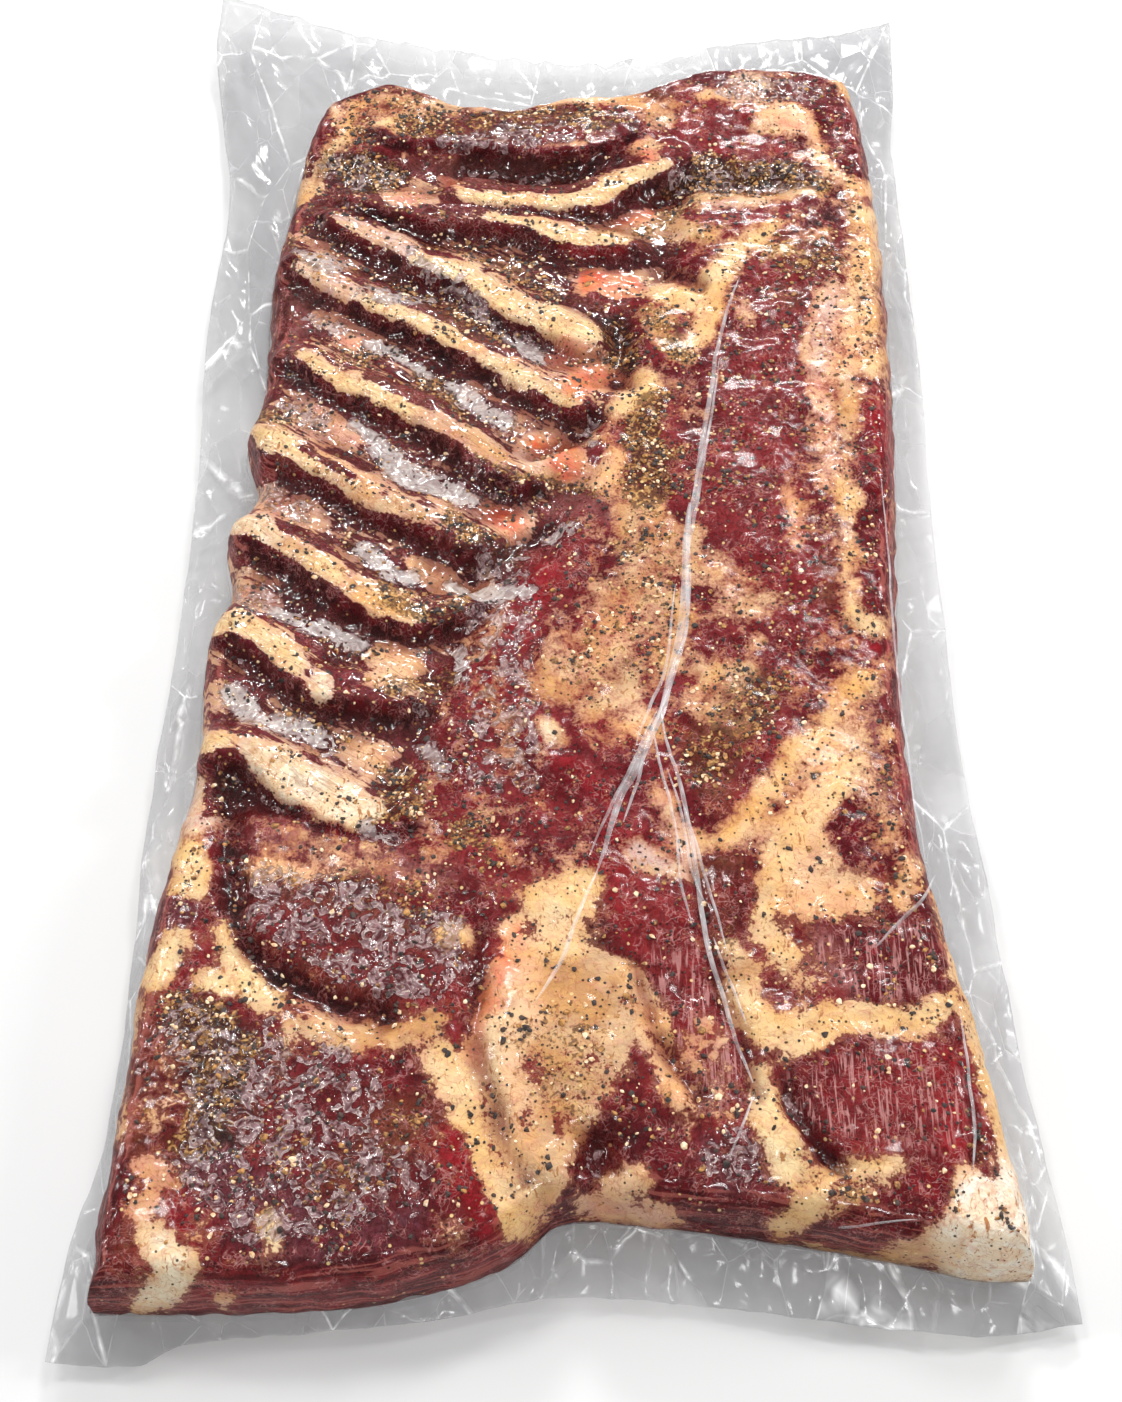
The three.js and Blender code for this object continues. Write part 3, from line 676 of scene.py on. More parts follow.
JUICE = [
    (1.0, [(-70, 71, 3), (-60, 64, 4), (-50, 56, 3)]),
    (1.0, [(-40, 50, 3), (-28, 40, 4), (-20, 34, 4)]),
    (1.0, [(-20, 74, 3), (-12, 67, 4), (-8, 62, 3)]),
    (1.0, [(-74, 32, 3), (-62, 20, 4), (-54, 10, 5), (-42, 4, 5), (-32, -3, 4)]),
    (1.0, [(-66, -24, 3.5), (-58, -32, 4.5), (-50, -36, 3)]),
    (1.0, [(-36, -40, 3), (-24, -45, 4), (-10, -42, 3)]),
    (1.0, [(-96, -50, 3), (-80, -58, 4), (-66, -63, 3)]), (1.0, [(-108, -82, 4), (-102, -89, 4)]),
    (0.9, [(-96, -94, 4), (-84, -96, 4), (-76, -103, 4)]), (0.8, [(-60, -134, 3), (-52, -138, 3)]),
    (0.8, [(-98, 116, 4), (-86, 109, 4)]), (0.8, [(-74, 96, 4), (-62, 94, 4), (-50, 92, 3)]),
    (0.8, [(4, -14, 3), (-4, -20, 3)]), (0.8, [(-33, -66, 3), (-32, -76, 3)]),
    (0.8, [(-44, -104, 3), (-38, -112, 3)]), (0.8, [(12, 20, 2), (6, 26, 2)]),
    (0.7, [(-58, 116, 4), (-40, 98, 4), (-26, 82, 4)]), (0.7, [(-95, 84, 4), (-84, 78, 4)]),
    (0.6, [(-100, 40, 4), (-86, 32, 5)]), (0.6, [(-104, 0, 4), (-90, -8, 5)]),
    (0.6, [(-110, -42, 4), (-98, -46, 4)]),
    (0.55, [(-88, -158, 10), (-70, -168, 16), (-46, -176, 16), (-34, -182, 10)]),
    (0.55, [(-112, -200, 8), (-98, -216, 16), (-76, -222, 18), (-60, -236, 12)]),
    (0.5, [(-96, -244, 12), (-72, -254, 14), (-44, -246, 10)]), (0.6, [(-40, 178, 8), (0, 184, 8)]),
    (0.5, [(50, 156, 8), (90, 158, 8)]), (0.45, [(-20, -30, 10), (-20, -60, 10), (-20, -110, 14)]),
    (0.5, [(70, 212, 8), (100, 210, 6)]), (0.5, [(48, -240, 8)]),
    (0.45, [(-90, 166, 8), (-70, 158, 8)]),
]
MOTTLED = [
    [(24, -8, 10), (30, -30, 14), (22, -56, 16), (6, -74, 12), (16, -98, 8)],
    [(50, -32, 8), (66, -46, 9)],
    [(-22, -40, 6), (-24, -80, 6), (-16, -112, 6)], [(48, -84, 8), (58, -96, 8)],
    [(66, -168, 6), (74, -182, 7)],
    [(44, 200, 7), (32, 200, 6)], [(40, -212, 6), (46, -226, 5)],
    [(98, 80, 6), (97, 40, 6), (96, 8, 5)],
    [(-84, -140, 7), (-60, -146, 7), (-40, -150, 5)], [(6, -212, 10), (2, -228, 9)], [(78, 206, 7)],
    [(-40, 124, 7), (-16, 110, 7)], [(-112, -206, 6), (-118, -228, 5)], [(80, -250, 6)],
    [(117, 132, 5), (114, 100, 6), (113, 64, 6)], [(100, -4, 4), (98, -40, 5)],
    [(102, -140, 6), (94, -82, 5)],
    [(-76, 200, 8), (-56, 200, 7)], [(-8, -168, 6), (6, -170, 5)],
]
STRIPED = [
    [(76, -222, 9), (92, -221, 14), (104, -224, 12)], [(88, -178, 10), (108, -180, 12)],
    [(34, -182, 8), (42, -206, 9), (47, -220, 7)],
]
SPICE = [
    (1.0, [(-86, 166, 8), (-72, 160, 10)]),
    (0.8, [(-60, 190, 8), (-30, 190, 8), (0, 194, 9), (18, 192, 7)]),
    (1.0, [(44, 153, 7), (60, 158, 9), (84, 160, 9), (100, 156, 6)]),
    (0.8, [(52, 144, 5), (30, 128, 6)]),
    (0.7, [(84, 122, 8), (98, 118, 9), (90, 108, 8)]), (1.0, [(20, 80, 6), (24, 64, 7)]),
    (0.8, [(36, 84, 7), (46, 66, 7)]), (1.0, [(34, 44, 6), (30, 24, 9), (32, 8, 9), (28, -4, 6)]),
    (0.7, [(-74, 142, 5), (-50, 138, 5)]), (0.7, [(-48, 124, 5), (-20, 112, 6), (-4, 98, 5)]),
    (0.9, [(-66, 102, 4), (-48, 92, 5), (-32, 82, 6), (-22, 72, 4)]),
    (0.8, [(-88, 68, 3), (-70, 62, 4)]),
    (1.0, [(-60, 66, 4), (-52, 58, 5), (-42, 46, 5), (-36, 38, 4)]),
    (0.9, [(-64, 16, 3), (-50, 4, 3), (-40, -2, 3)]),
    (1.0, [(-28, 12, 4), (-18, 6, 5), (-4, 4, 4), (10, 0, 3)]),
    (1.0, [(-38, -12, 5), (-28, -22, 6), (-16, -28, 4)]),
    (1.0, [(-72, -22, 3), (-60, -34, 3), (-56, -44, 5), (-44, -52, 5), (-32, -50, 4)]),
    (0.8, [(-80, -62, 3), (-64, -66, 3)]), (1.0, [(-58, -82, 4), (-44, -82, 5), (-36, -76, 4)]),
    (0.7, [(-88, -92, 3), (-72, -100, 4)]), (1.0, [(-54, -116, 5), (-50, -126, 6), (-60, -136, 3)]),
    (0.8, [(-30, -136, 7), (-22, -146, 4)]), (0.7, [(-60, -156, 9), (-46, -160, 8)]),
    (1.0, [(-112, -196, 7), (-100, -206, 10), (-104, -232, 8)]),
    (0.6, [(-76, -236, 10), (-60, -250, 8)]),
    (0.6, [(-46, -232, 10)]), (0.8, [(60, -82, 11), (54, -98, 12), (46, -112, 7)]),
    (0.7, [(52, -168, 4), (54, -182, 5)]), (0.6, [(0, -206, 14), (4, -222, 10)]),
    (0.7, [(80, -252, 6)]),
    (0.5, [(30, -20, 12), (28, -50, 12), (10, -76, 12)]), (1.0, [(-108, 36, 5), (-100, 34, 4)]),
    (1.0, [(-116, -109, 4), (-108, -114, 4)]),
    (0.2, [(72, 90, 14), (72, 40, 18), (66, 0, 16), (72, -40, 14)]),
    (0.7, [(-102, 125, 5), (-103, 105, 4)]), (0.5, [(-60, 200, 10), (-100, 160, 6)]),
]
print(len(CRESTS), "strokes on crests and knobs,", len(JUICE), "of juice,", len(SPICE), "of spice")

# %% [markdown]
# The drawing of these strokes lies on a sheet 34 mm above the floor, level with the crests, as seen from
# a high place at the thick end. A point lower down, in a valley or on a side wall, looks up its colour
# where a line from that place through it meets the sheet. So the near wall gets the layers drawn for it.

# %% Find a place on the drawing, and cover it with a stroke
DRAWN_FROM = np.array([0.0, -429.7, 570.6])
DRAWN_HEIGHT = 34.0


def drawn_place(p):
    """Where points (..., 3) lie on the drawing."""
    reach = (DRAWN_FROM[2] - DRAWN_HEIGHT) / (DRAWN_FROM[2] - p[..., 2])
    return DRAWN_FROM[:2] + (p[..., :2] - DRAWN_FROM[:2]) * reach[..., None]


def cover(line, xy, soft):
    """How much a stroke covers each place, from 0 to 1, with an edge that is soft mm wide."""
    line = bent(line)
    reach = line[:, 2].max() + soft
    lowest, highest = line[:, :2].min(0) - reach, line[:, :2].max(0) + reach
    close = np.all((xy > lowest) & (xy < highest), axis=-1)
    out = np.zeros(xy.shape[:-1])
    if close.any():
        away, _, half = from_line(line, xy[close])
        uneven = 1 + 0.35 * noise(np.column_stack([xy[close], np.zeros(close.sum())]), 8, 24)
        out[close] = smooth((half * uneven - away) / soft + 0.5)
    return out


def lay(strokes, soft, xy, fat, fat_colour, muscle):
    """Lay strokes one over the other: fat raises the share of fat, muscle lowers it."""
    for pigment, line in strokes:
        w = cover(line, xy, soft)
        wide = w[..., None]
        if pigment in FAT:
            fat = fat * (1 - w) + w
            fat_colour = fat_colour * (1 - wide) + FAT[pigment] * wide
        else:
            fat = fat * (1 - w)
            muscle = muscle * (1 - wide) + MUSCLE[pigment] * wide
    return fat, fat_colour, muscle


def strongest(strokes, soft, xy):
    """The largest amount that any stroke lays on each place."""
    out = np.zeros(xy.shape[:-1])
    for amount, line in strokes:
        out = np.maximum(out, amount * cover(line, xy, soft))
    return out


def steep_walls(xy):
    """1 on the steep side of each ridge."""
    walls = np.zeros(xy.shape[:-1])
    for line in RIDGES.values():
        away, side, half = from_line(bent(line), xy)
        band = smooth((away - 0.5 * half) / 3) * (1 - smooth((away - half - 4) / 4))
        walls = np.maximum(walls, np.where(side > 0, band, 0))
    return walls


probe_line = [(0, 0, 2), (10, 0, 2)]
print("a stroke covers its middle by", float(cover(probe_line, np.array([[5.0, 0.0]]), 1.0)[0]))

# %% Lay all strokes on the points
STROKE_SOFT = 9
CREST_SOFT = 6
MOTTLE_SOFT = 12
JUICE_SOFT = 4
STRIPE_SOFT = 5
SPICE_SOFT = 9
RIBS_FAR_END = 175
NEAR_HALF = -140
NEAR_HALF_CRISPNESS = 0.22
CALM_ROUNDS = 24


def paint(p):
    """The layers at points (..., 3): fat, colours of fat and muscle, juice, spice, stripes and ribs."""
    xy = wander(drawn_place(p), 0.8)
    y = xy[..., 1]
    rib = rib_zone(xy) * smooth((RIBS_FAR_END - y) / 12)
    ribbed = rib[..., None]
    fat = 0.20 + 0.22 * noise(p, 10, 22) + 0.20 * rib
    shade = smooth(0.5 + 1.5 * noise(p, 16, 21))[..., None]
    muscle = MUSCLE["burgundy"] * shade + MUSCLE["wine"] * (1 - shade)
    muscle = muscle * (1 - 0.5 * ribbed) + MUSCLE["violet"] * 0.5 * ribbed
    fat_colour = FAT["tan"] * (1 - ribbed) + (FAT["rose"] + FAT["pink"]) / 2 * ribbed
    fat, fat_colour, muscle = lay(STROKES, STROKE_SOFT, xy, fat, fat_colour, muscle)
    for line in MOTTLED:
        fat = fat + (0.5 - fat) * 0.8 * cover(line, xy, MOTTLE_SOFT)
    walls = steep_walls(xy)
    fat = fat * (1 - walls)
    maroon = np.where((noise(p, 9, 23) > 0.1)[..., None], MUSCLE["dark"], MUSCLE["wine"])
    muscle = muscle * (1 - walls[..., None]) + maroon * walls[..., None]
    fat, fat_colour, muscle = lay(CRESTS, CREST_SOFT, xy, fat, fat_colour, muscle)
    juice = strongest(JUICE, JUICE_SOFT, xy)
    striped = strongest([(1.0, line) for line in STRIPED], STRIPE_SOFT, xy)
    spice = strongest(SPICE, SPICE_SOFT, xy) * (1 - 0.7 * walls)
    near_half = NEAR_HALF_CRISPNESS * smooth((NEAR_HALF - y) / 14)
    return fat, fat_colour, muscle, juice, spice, striped, np.maximum(rib * (1 - 0.6 * walls), near_half)


calm_z = meat_z
for _ in range(CALM_ROUNDS):
    calm_z = mean_of_neighbours(calm_z)
top_paint = paint(np.dstack([top_xy, calm_z]))
pooled = np.clip(top_paint[3] * 1.6, 0, 1)
juice_z = meat_z + np.maximum(gap - 0.5, 0) * pooled
top_points = np.dstack([top_xy, juice_z])
print("share of fat on the rib side", round(float((top_paint[0] > 0.5).mean()), 2))

# %% [markdown]
# ## Closed shells
# Meat and film are both closed forms: the grid of the rib side, a rounded shoulder down to the seam, a
# foot that tucks in to the floor, and a flat underside. A cage and a subdivision surface would do for a
# smooth pillow, but here every point needs its own height, so the mesh is written point by point.

# %% Build a closed shell from a grid and its rings
SHOULDER_ROWS = 9
FOOT_ROWS = 4
UNDERSIDE_GAP = 0.4
RING = len(ring)


def grid_ring(nx, ny):
    """Numbers of the edge points of a grid, in the order of the ring."""
    number = np.arange((nx + 1) * (ny + 1)).reshape(ny + 1, nx + 1)
    return np.concatenate([number[0, :-1], number[:-1, -1], number[-1, :0:-1], number[:0:-1, 0]])


def wall_rings(rim_z, tuck):
    """Rings of points from under the rim to the floor; tuck draws them in from the film, in mm."""
    rings = []
    for turn in np.linspace(0, np.pi / 2, SHOULDER_ROWS + 1)[1:]:
        reach = SHOULDER_INSET * (1 - np.sin(turn)) + tuck * np.sin(turn)
        height = SEAM_HEIGHT + (rim_z - SEAM_HEIGHT) * np.cos(turn)
        rings.append(np.column_stack([meat_edge + inward * reach[:, None], height]))
    for turn in np.linspace(0, np.pi / 2, FOOT_ROWS + 1)[1:]:
        reach = FOOT_INSET * (1 - np.cos(turn)) + tuck
        height = SEAM_HEIGHT * (1 - np.sin(turn)) + UNDERSIDE_GAP * (tuck > 0)
        rings.append(np.column_stack([meat_edge + inward * reach[:, None], height * np.ones(RING)]))
    return rings


def strip_faces(first, second):
    """Quads between two rings of point numbers."""
    return np.stack([first, second, np.roll(second, -1), np.roll(first, -1)], 1)


def grid_faces(rows, columns):
    """Quads between the points of a grid."""
    number = np.arange(rows * columns).reshape(rows, columns)
    quads = np.stack([number[:-1, :-1], number[:-1, 1:], number[1:, 1:], number[1:, :-1]], -1)
    return quads.reshape(-1, 4)


def shell(top, rings):
    """Points and faces of a closed form: grid on top, rings round the side, one flat face below."""
    ny, nx = top.shape[0] - 1, top.shape[1] - 1
    faces = [grid_faces(ny + 1, nx + 1)]
    points, last = [top.reshape(-1, 3)], grid_ring(nx, ny)
    for rows in rings:
        count = sum(len(p) for p in points)
        fresh = np.arange(count, count + len(rows))
        faces.append(strip_faces(last, fresh))
        points.append(rows)
        last = fresh
    return np.concatenate(points), np.concatenate(faces).tolist() + [last[::-1].tolist()]


def piece_from(name, points, faces):
    """A smooth-shaded piece of the pouch, in metres, parented to the root body, with the solid part hidden.
    """
    mesh = bpy.data.meshes.new(name)
    mesh.from_pydata((points * MM).tolist(), [], faces)
    mesh.polygons.foreach_set("use_smooth", [True] * len(mesh.polygons))
    piece = bpy.data.objects.new(name, mesh)
    bpy.context.collection.objects.link(piece)
    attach(piece, "root")
    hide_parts("sealed_pancetta")
    mesh.calc_loop_triangles()
    print(name, len(mesh.loop_triangles), "triangles")
    return piece


def keep_layer(piece, name, values):
    """Store one number or one colour a point for the material to read."""
    values = np.asarray(values, float)
    if values.ndim == 1:
        piece.data.attributes.new(name, "FLOAT", "POINT").data.foreach_set("value", values)
    else:
        layer = piece.data.attributes.new(name, "FLOAT_COLOR", "POINT")
        layer.data.foreach_set("color", np.column_stack([values, np.ones(len(values))]).ravel())


print("shells have", SHOULDER_ROWS, "rows of points on the shoulder and", FOOT_ROWS, "at the foot")

# %% The meat
QUARTER_TURN = 1.57
HOLLOW_ROUNDS = 60
HOLLOW_DEPTH = 3
ring_p = np.column_stack([meat_edge, np.full(RING, 20.0)])
rim_grid = grid_ring(CELLS_ACROSS, CELLS_ALONG)
rim_z = juice_z.reshape(-1)[rim_grid]
tuck = 1.2 + 0.5 * noise(ring_p, 12, 31) + 0.3 * noise(ring_p, 5, 32)
meat_rings = wall_rings(rim_z, tuck)
for row, rows in enumerate(meat_rings[:-2]):
    lump = 0.7 * noise(rows, 7, 33) + 0.5 * noise(rows * (1, 1, 2.5), 5, 34)
    swell = np.sin((row + 1) / SHOULDER_ROWS * QUARTER_TURN) ** 0.5
    rows[:, :2] += inward * (lump + 0.7)[:, None] * swell
meat_points, meat_faces = shell(top_points, meat_rings)
meat = piece_from("cured_meat", meat_points, meat_faces)

wall_paint = paint(np.concatenate(meat_rings))
juice_amount = np.maximum(top_paint[3], 0.6 * smooth((gap - 1.0) / 1.5))
above_paint = (*top_paint[:3], juice_amount, *top_paint[4:])
LAYERS = ["fat", "fat_colour", "muscle", "juice", "spice", "striped", "ribbed"]
for name, above, below in zip(LAYERS, above_paint, wall_paint):
    keep_layer(meat, name, np.concatenate([above.reshape((-1,) + above.shape[2:]), below]))
on_top, on_wall = top_xy[..., 0].size, len(wall_paint[0])
keep_layer(meat, "side", np.concatenate([np.zeros(on_top), np.ones(on_wall)]))
# Painted shade: how far each place lies below a sheet stretched over it, by which the finish darkens the
# hollows
hollow_shade = smooth((stretch(juice_z, HOLLOW_ROUNDS) - juice_z) / HOLLOW_DEPTH)
keep_layer(meat, "hollow_shade", np.concatenate([hollow_shade.ravel(), np.zeros(on_wall)]))
print("meat box in mm", np.round(np.ptp(meat_points, axis=0)))

# %% [markdown]
# ## Maths between sockets
# Most of what makes meat look like meat is maths on masks: sharpen a soft edge, add two noises, keep the
# part above a level. Node by node that is long to write and hard to read. So a small class holds a
# socket, and sums written in Python with it add the Math nodes. Colours go through Mix nodes instead,
# because a Math node would turn them grey.

# %% A wrapper for sockets and one way to add nodes
def join(value, slot):
    """Put a number, a colour or a wrapped socket on an input."""
    if isinstance(value, Wire):
        slot.id_data.links.new(value.socket, slot)
    else:
        slot.default_value = value


class Wire:
    """An output socket that can stand in a sum: each operator adds one Math node."""

    def __init__(self, socket):
        self.socket = socket

    def math(self, operation, *values, clamp=False):
        node = self.socket.id_data.nodes.new("ShaderNodeMath")
        node.operation, node.use_clamp = operation, clamp
        for value, slot in zip(values, node.inputs):
            join(value, slot)
        return Wire(node.outputs[0])

    def __add__(self, other):
        return self.math("ADD", self, other)

    def __sub__(self, other):
        return self.math("SUBTRACT", self, other)

    def __rsub__(self, other):
        return self.math("SUBTRACT", other, self)

    def __mul__(self, other):
        return self.math("MULTIPLY", self, other)

    def over(self, level, soft):
        """1 where the value is above the level, 0 below it, with a straight step that is soft wide."""
        return self.math("MULTIPLY_ADD", self, 1 / soft, 0.5 - level / soft, clamp=True)

    def near(self, level, width):
        """1 where the value is at the level, falling to 0 at width from it: a thin line in a noise."""
        return self.math("MULTIPLY_ADD", self.math("ABSOLUTE", self - level), -1 / width, 1, clamp=True)

    def least(self, cap):
        """The value, or the cap where that is lower."""
        return self.math("MINIMUM", self, cap)

    def most(self, floor):
        """The value, or the floor where that is higher."""
        return self.math("MAXIMUM", self, floor)

    __radd__, __rmul__ = __add__, __mul__


class Finish:
    """A material, with one method that adds any node to it."""

    def __init__(self, name):
        self.material = bpy.data.materials.new(name)
        self.material.use_nodes = True
        self.tree = self.material.node_tree
        self.tree.nodes.clear()

    def node(self, kind, settings, sockets, out=0):
        """Add a node: its type, its settings, then values or links by socket name or number."""
        node = self.tree.nodes.new("ShaderNode" + kind)
        for name, value in settings.items():
            setattr(node, name, value)
        for key, value in sockets.items():
            join(value, node.inputs[key])
        return Wire(node.outputs[out]) if len(node.outputs) else node

    def layer(self, name, out="Fac"):
        """One of the layers that keep_layer stored on the points."""
        return self.node("Attribute", {"attribute_name": name}, {}, out)

    def place(self, stretched=(1, 1, 1)):
        """Position on the object in mm, so that sizes of noise are sizes in mm too."""
        at = self.node("TexCoord", {}, {}, "Object")
        in_mm = [s / MM for s in stretched]
        return self.node("VectorMath", {"operation": "MULTIPLY"}, {0: at, 1: in_mm})

    def grain(self, at, size, detail=2.0, rough=0.5, bend=0.0):
        """Noise from 0 to 1 whose lumps are about size mm wide."""
        return self.node("TexNoise", {}, {
            "Vector": at, "Scale": 1 / size, "Detail": detail, "Roughness": rough, "Distortion": bend})

    def mix(self, share, first, second, blend="MIX"):
        """A colour between two."""
        settings = {"data_type": "RGBA", "blend_type": blend}
        return self.node("Mix", settings, {0: share, 6: first, 7: second}, 2)

    def show(self, shader, piece):
        """Make the shader the finish of a piece."""
        self.node("OutputMaterial", {}, {"Surface": shader})
        piece.data.materials.append(self.material)


def rgba(pigment, darker=1.0):
    return [*(pigment * darker), 1.0]


print("nodes can now be written as sums")

# %% [markdown]
# ## Finish of the meat
# Cut fat and muscle meet at a ragged border, crisp on the ridges and blurred on the flat parts. The
# painted border is soft, so a fine noise is added to it and only a step around one half is kept, narrow
# where the ribs were. Muscle gets fibres, brighter swirls and thin pale threads, which are partly pale
# veins and partly painted highlights of the film's small wrinkles, and fat gets warmer and pinker
# patches. An image would be the other way, but noise has no pixels and no seams.

# %% The border of fat and muscle
RIB_SLANT = math.radians(34)
flesh = Finish("cured_meat")
at = flesh.place()
broad, patchy = flesh.grain(at, 15, 2), flesh.grain(at, 6, 2, 0.5, 0.6)
ragged, fine = flesh.grain(at, 2.6, 2, 0.55, 0.8), flesh.grain(at, 0.9, 2, 0.6)
slant = flesh.node("VectorRotate", {"rotation_type": "Z_AXIS"}, {"Vector": at, "Angle": RIB_SLANT})
along_ribs = flesh.node("VectorMath", {"operation": "MULTIPLY"}, {0: slant, 1: [0.16, 1.0, 0.5]})
strands = flesh.grain(along_ribs, 2.6, 2, 0.55, 0.8)
ribbed = flesh.layer("ribbed")
border = flesh.layer("fat") + (patchy - 0.5) * (1.2 - ribbed * 0.7)
border = border + (ragged - 0.5) * (0.9 - ribbed * 0.5) + ribbed * (strands - 0.5)
border = border + (fine - 0.5) * (0.7 - ribbed * 0.5)
crisp = ribbed.over(0.2, 0.2)
fat_mask = border.over(0.5, 0.6) * (1 - crisp) + border.over(0.5, 0.14) * crisp
print("border nodes", len(flesh.tree.nodes))

# %% The colours of muscle
swirl, curl = flesh.grain(at, 5.5, 1, 0.5, 1.6), flesh.grain(at, 3.0, 1, 0.5, 1.6)
fibres = flesh.grain(flesh.place((1.0, 0.45, 1.0)), 1.6, 2, 0.6, 1.0)
lean = flesh.mix(patchy.over(0.54, 0.2) * 0.6, flesh.layer("muscle", "Color"), rgba(MUSCLE["red"], 0.8))
lean = flesh.mix(broad.over(0.52, 0.2) * 0.5, lean, rgba(MUSCLE["wine"], 0.7))
lean = flesh.mix(ribbed * strands.over(0.52, 0.12) * 0.7, lean, rgba(MUSCLE["brown"], 0.8))
lean = flesh.mix((1 - fibres.over(0.44, 0.2)) * 0.7, lean, [0.40, 0.35, 0.35, 1.0], "MULTIPLY")
lean = flesh.mix(curl.over(0.54, 0.16) * 0.35, lean, [1.6, 3.0, 2.8, 1.0], "MULTIPLY")
lean = flesh.mix(swirl.over(0.56, 0.12) * 0.4, lean, [1.4, 2.4, 2.4, 1.0], "MULTIPLY")
# Partly painted highlight: thin pale lines that stand for both pale veins and glints on the film's small
# wrinkles
pale_veins_and_glints = swirl.near(0.5, 0.03) + curl.near(0.46, 0.035)
lean = flesh.mix(pale_veins_and_glints * patchy.over(0.46, 0.12) * 0.55, lean, rgba(FAT["rose"]))
stripes = flesh.grain(flesh.place((1.3, 0.10, 0.5)), 1.3, 2, 0.6, 0.5)
lean = flesh.mix(flesh.layer("striped") * stripes.over(0.57, 0.08) * 0.7, lean, rgba(FAT["rose"]))
layers = flesh.grain(flesh.place((0.06, 0.06, 0.9)), 1.3, 2, 0.5, 0.4)
lean = flesh.mix(flesh.layer("side") * layers.over(0.58, 0.06) * 0.4, lean, rgba(FAT["pink"]))
lean = flesh.mix(flesh.layer("side") * (1 - layers.over(0.42, 0.08)) * 0.6, lean, rgba(MUSCLE["dark"]))
lean = flesh.mix(1.0, lean, [0.84, 0.56, 0.60, 1.0], "MULTIPLY")
print("with muscle", len(flesh.tree.nodes))

# %% The colours of fat, and both together
fatty = flesh.mix(patchy.over(0.50, 0.2) * 0.45, flesh.layer("fat_colour", "Color"), rgba(FAT["gold"]))
fatty = flesh.mix(broad.over(0.50, 0.2) * 0.3, fatty, rgba(FAT["pale"]))
fatty = flesh.mix(ragged.over(0.60, 0.14) * 0.4, fatty, rgba(FAT["pink"]))
fatty = flesh.mix(swirl.near(0.46, 0.03) * 0.4, fatty, rgba(linear((176, 84, 62))))
fatty = flesh.mix(fibres.over(0.36, 0.1), rgba(linear((186, 128, 84))), fatty)
fatty = flesh.mix(ribbed * strands.near(0.42, 0.05) * 0.5, fatty, rgba(linear((150, 84, 62))))
fatty = flesh.mix(ribbed * strands.over(0.56, 0.10) * 0.4, fatty, rgba(FAT["tan"]))
between = border.over(0.36, 0.26) * (0.6 - crisp * 0.4)
body = flesh.mix(between, lean, rgba(linear((190, 96, 80))))
body = flesh.mix(fat_mask, body, fatty)
outline_of_fat = border.near(0.41, 0.08) * (0.2 + crisp * 0.6)
body = flesh.mix(outline_of_fat, body, rgba(MUSCLE["wine"], 0.5))
print("with fat", len(flesh.tree.nodes))

# %% [markdown]
# On top of that lies the rub, a crust of brown crumbs where spice is thick, and dark and pale specks that
# are too small to be pieces of their own. Where juice stands under the film it veils all of them in pale
# lilac, partly the juice's own milky colour and partly a painted reflection of the room in the slack film.
# Its edge is torn by two bent noises, and a painted highlight follows that edge as a lighter line. The
# hollows between the ridges get painted shade.

# %% Rub and specks
spice = flesh.layer("spice")
crust = spice * 0.6 + (patchy - 0.5) * 0.8 + (ragged - 0.5) * 1.2 + (fine - 0.5) * 0.4
rub = crust.over(0.46, 0.12)
crumb = flesh.grain(at, 3.0, 1, 0.5, 1.4)
rub_colour = flesh.mix(crumb.over(0.5, 0.16), rgba(linear((66, 40, 28))), rgba(linear((160, 112, 62))))
rub_colour = flesh.mix(crumb.over(0.62, 0.06), rub_colour, rgba(linear((206, 166, 106))))
rub_colour = flesh.mix(crumb.near(0.52, 0.05), rub_colour, rgba(MUSCLE["black"], 0.5))
body = flesh.mix(rub * 0.75, body, rub_colour)


def specks(size, radius, share):
    """Round specks, one in some of the cells of a pattern that is size mm wide."""
    cells = {"Vector": at, "Scale": 1 / size, "Randomness": 1.0}
    away = flesh.node("TexVoronoi", {}, cells, "Distance")
    chosen = flesh.node("SeparateColor", {}, {0: flesh.node("TexVoronoi", {}, cells, "Color")}, 0)
    return (share - chosen).over(0.0, 0.02) * (radius / size - away).over(0.0, 0.08)


pale_specks = specks(2.8, 0.55, spice * 0.1 + 0.14)
dark_specks = specks(2.0, 0.42, spice * 0.3 + 0.3)
body = flesh.mix(pale_specks * 0.9, body, rgba(linear((240, 208, 150))))
body = flesh.mix(dark_specks * 0.9, body, rgba(linear((40, 22, 20))))
print("with rub", len(flesh.tree.nodes))


# %% Juice under the film
def juice_edge(finish, at):
    """The painted juice, and its torn veil: above one half where juice stands under the film."""
    wet = finish.layer("juice")
    wide_tear = finish.grain(at, 6.0, 1, 0.5, 1.2) - 0.5
    small_tear = finish.grain(at, 3.2, 1, 0.5, 1.2) - 0.5
    return wet, wet + (wide_tear * 2.4 + small_tear * 1.2) * (wet * 3.0).least(1.0)


wet, veil = juice_edge(flesh, at)
cloud = flesh.grain(at, 4.0, 1, 0.5, 1.8).over(0.5, 0.24)
thin_juice = flesh.mix(cloud, rgba(linear((62, 30, 38))), rgba(linear((168, 142, 148))))
thick_juice = flesh.mix(cloud, rgba(linear((168, 154, 154))), rgba(linear((206, 200, 199))))
# The pale lilac is partly the juice's own milky colour and partly a painted reflection of the room in the
# film
juice_and_reflection_colour = flesh.mix(wet.over(0.75, 0.3), thin_juice, thick_juice)
body = flesh.mix(veil.near(0.42, 0.10) * 0.6, body, rgba(MUSCLE["dark"], 0.8))
body = flesh.mix(veil.over(0.56, 0.08) * (0.5 + wet * 0.35), body, juice_and_reflection_colour)
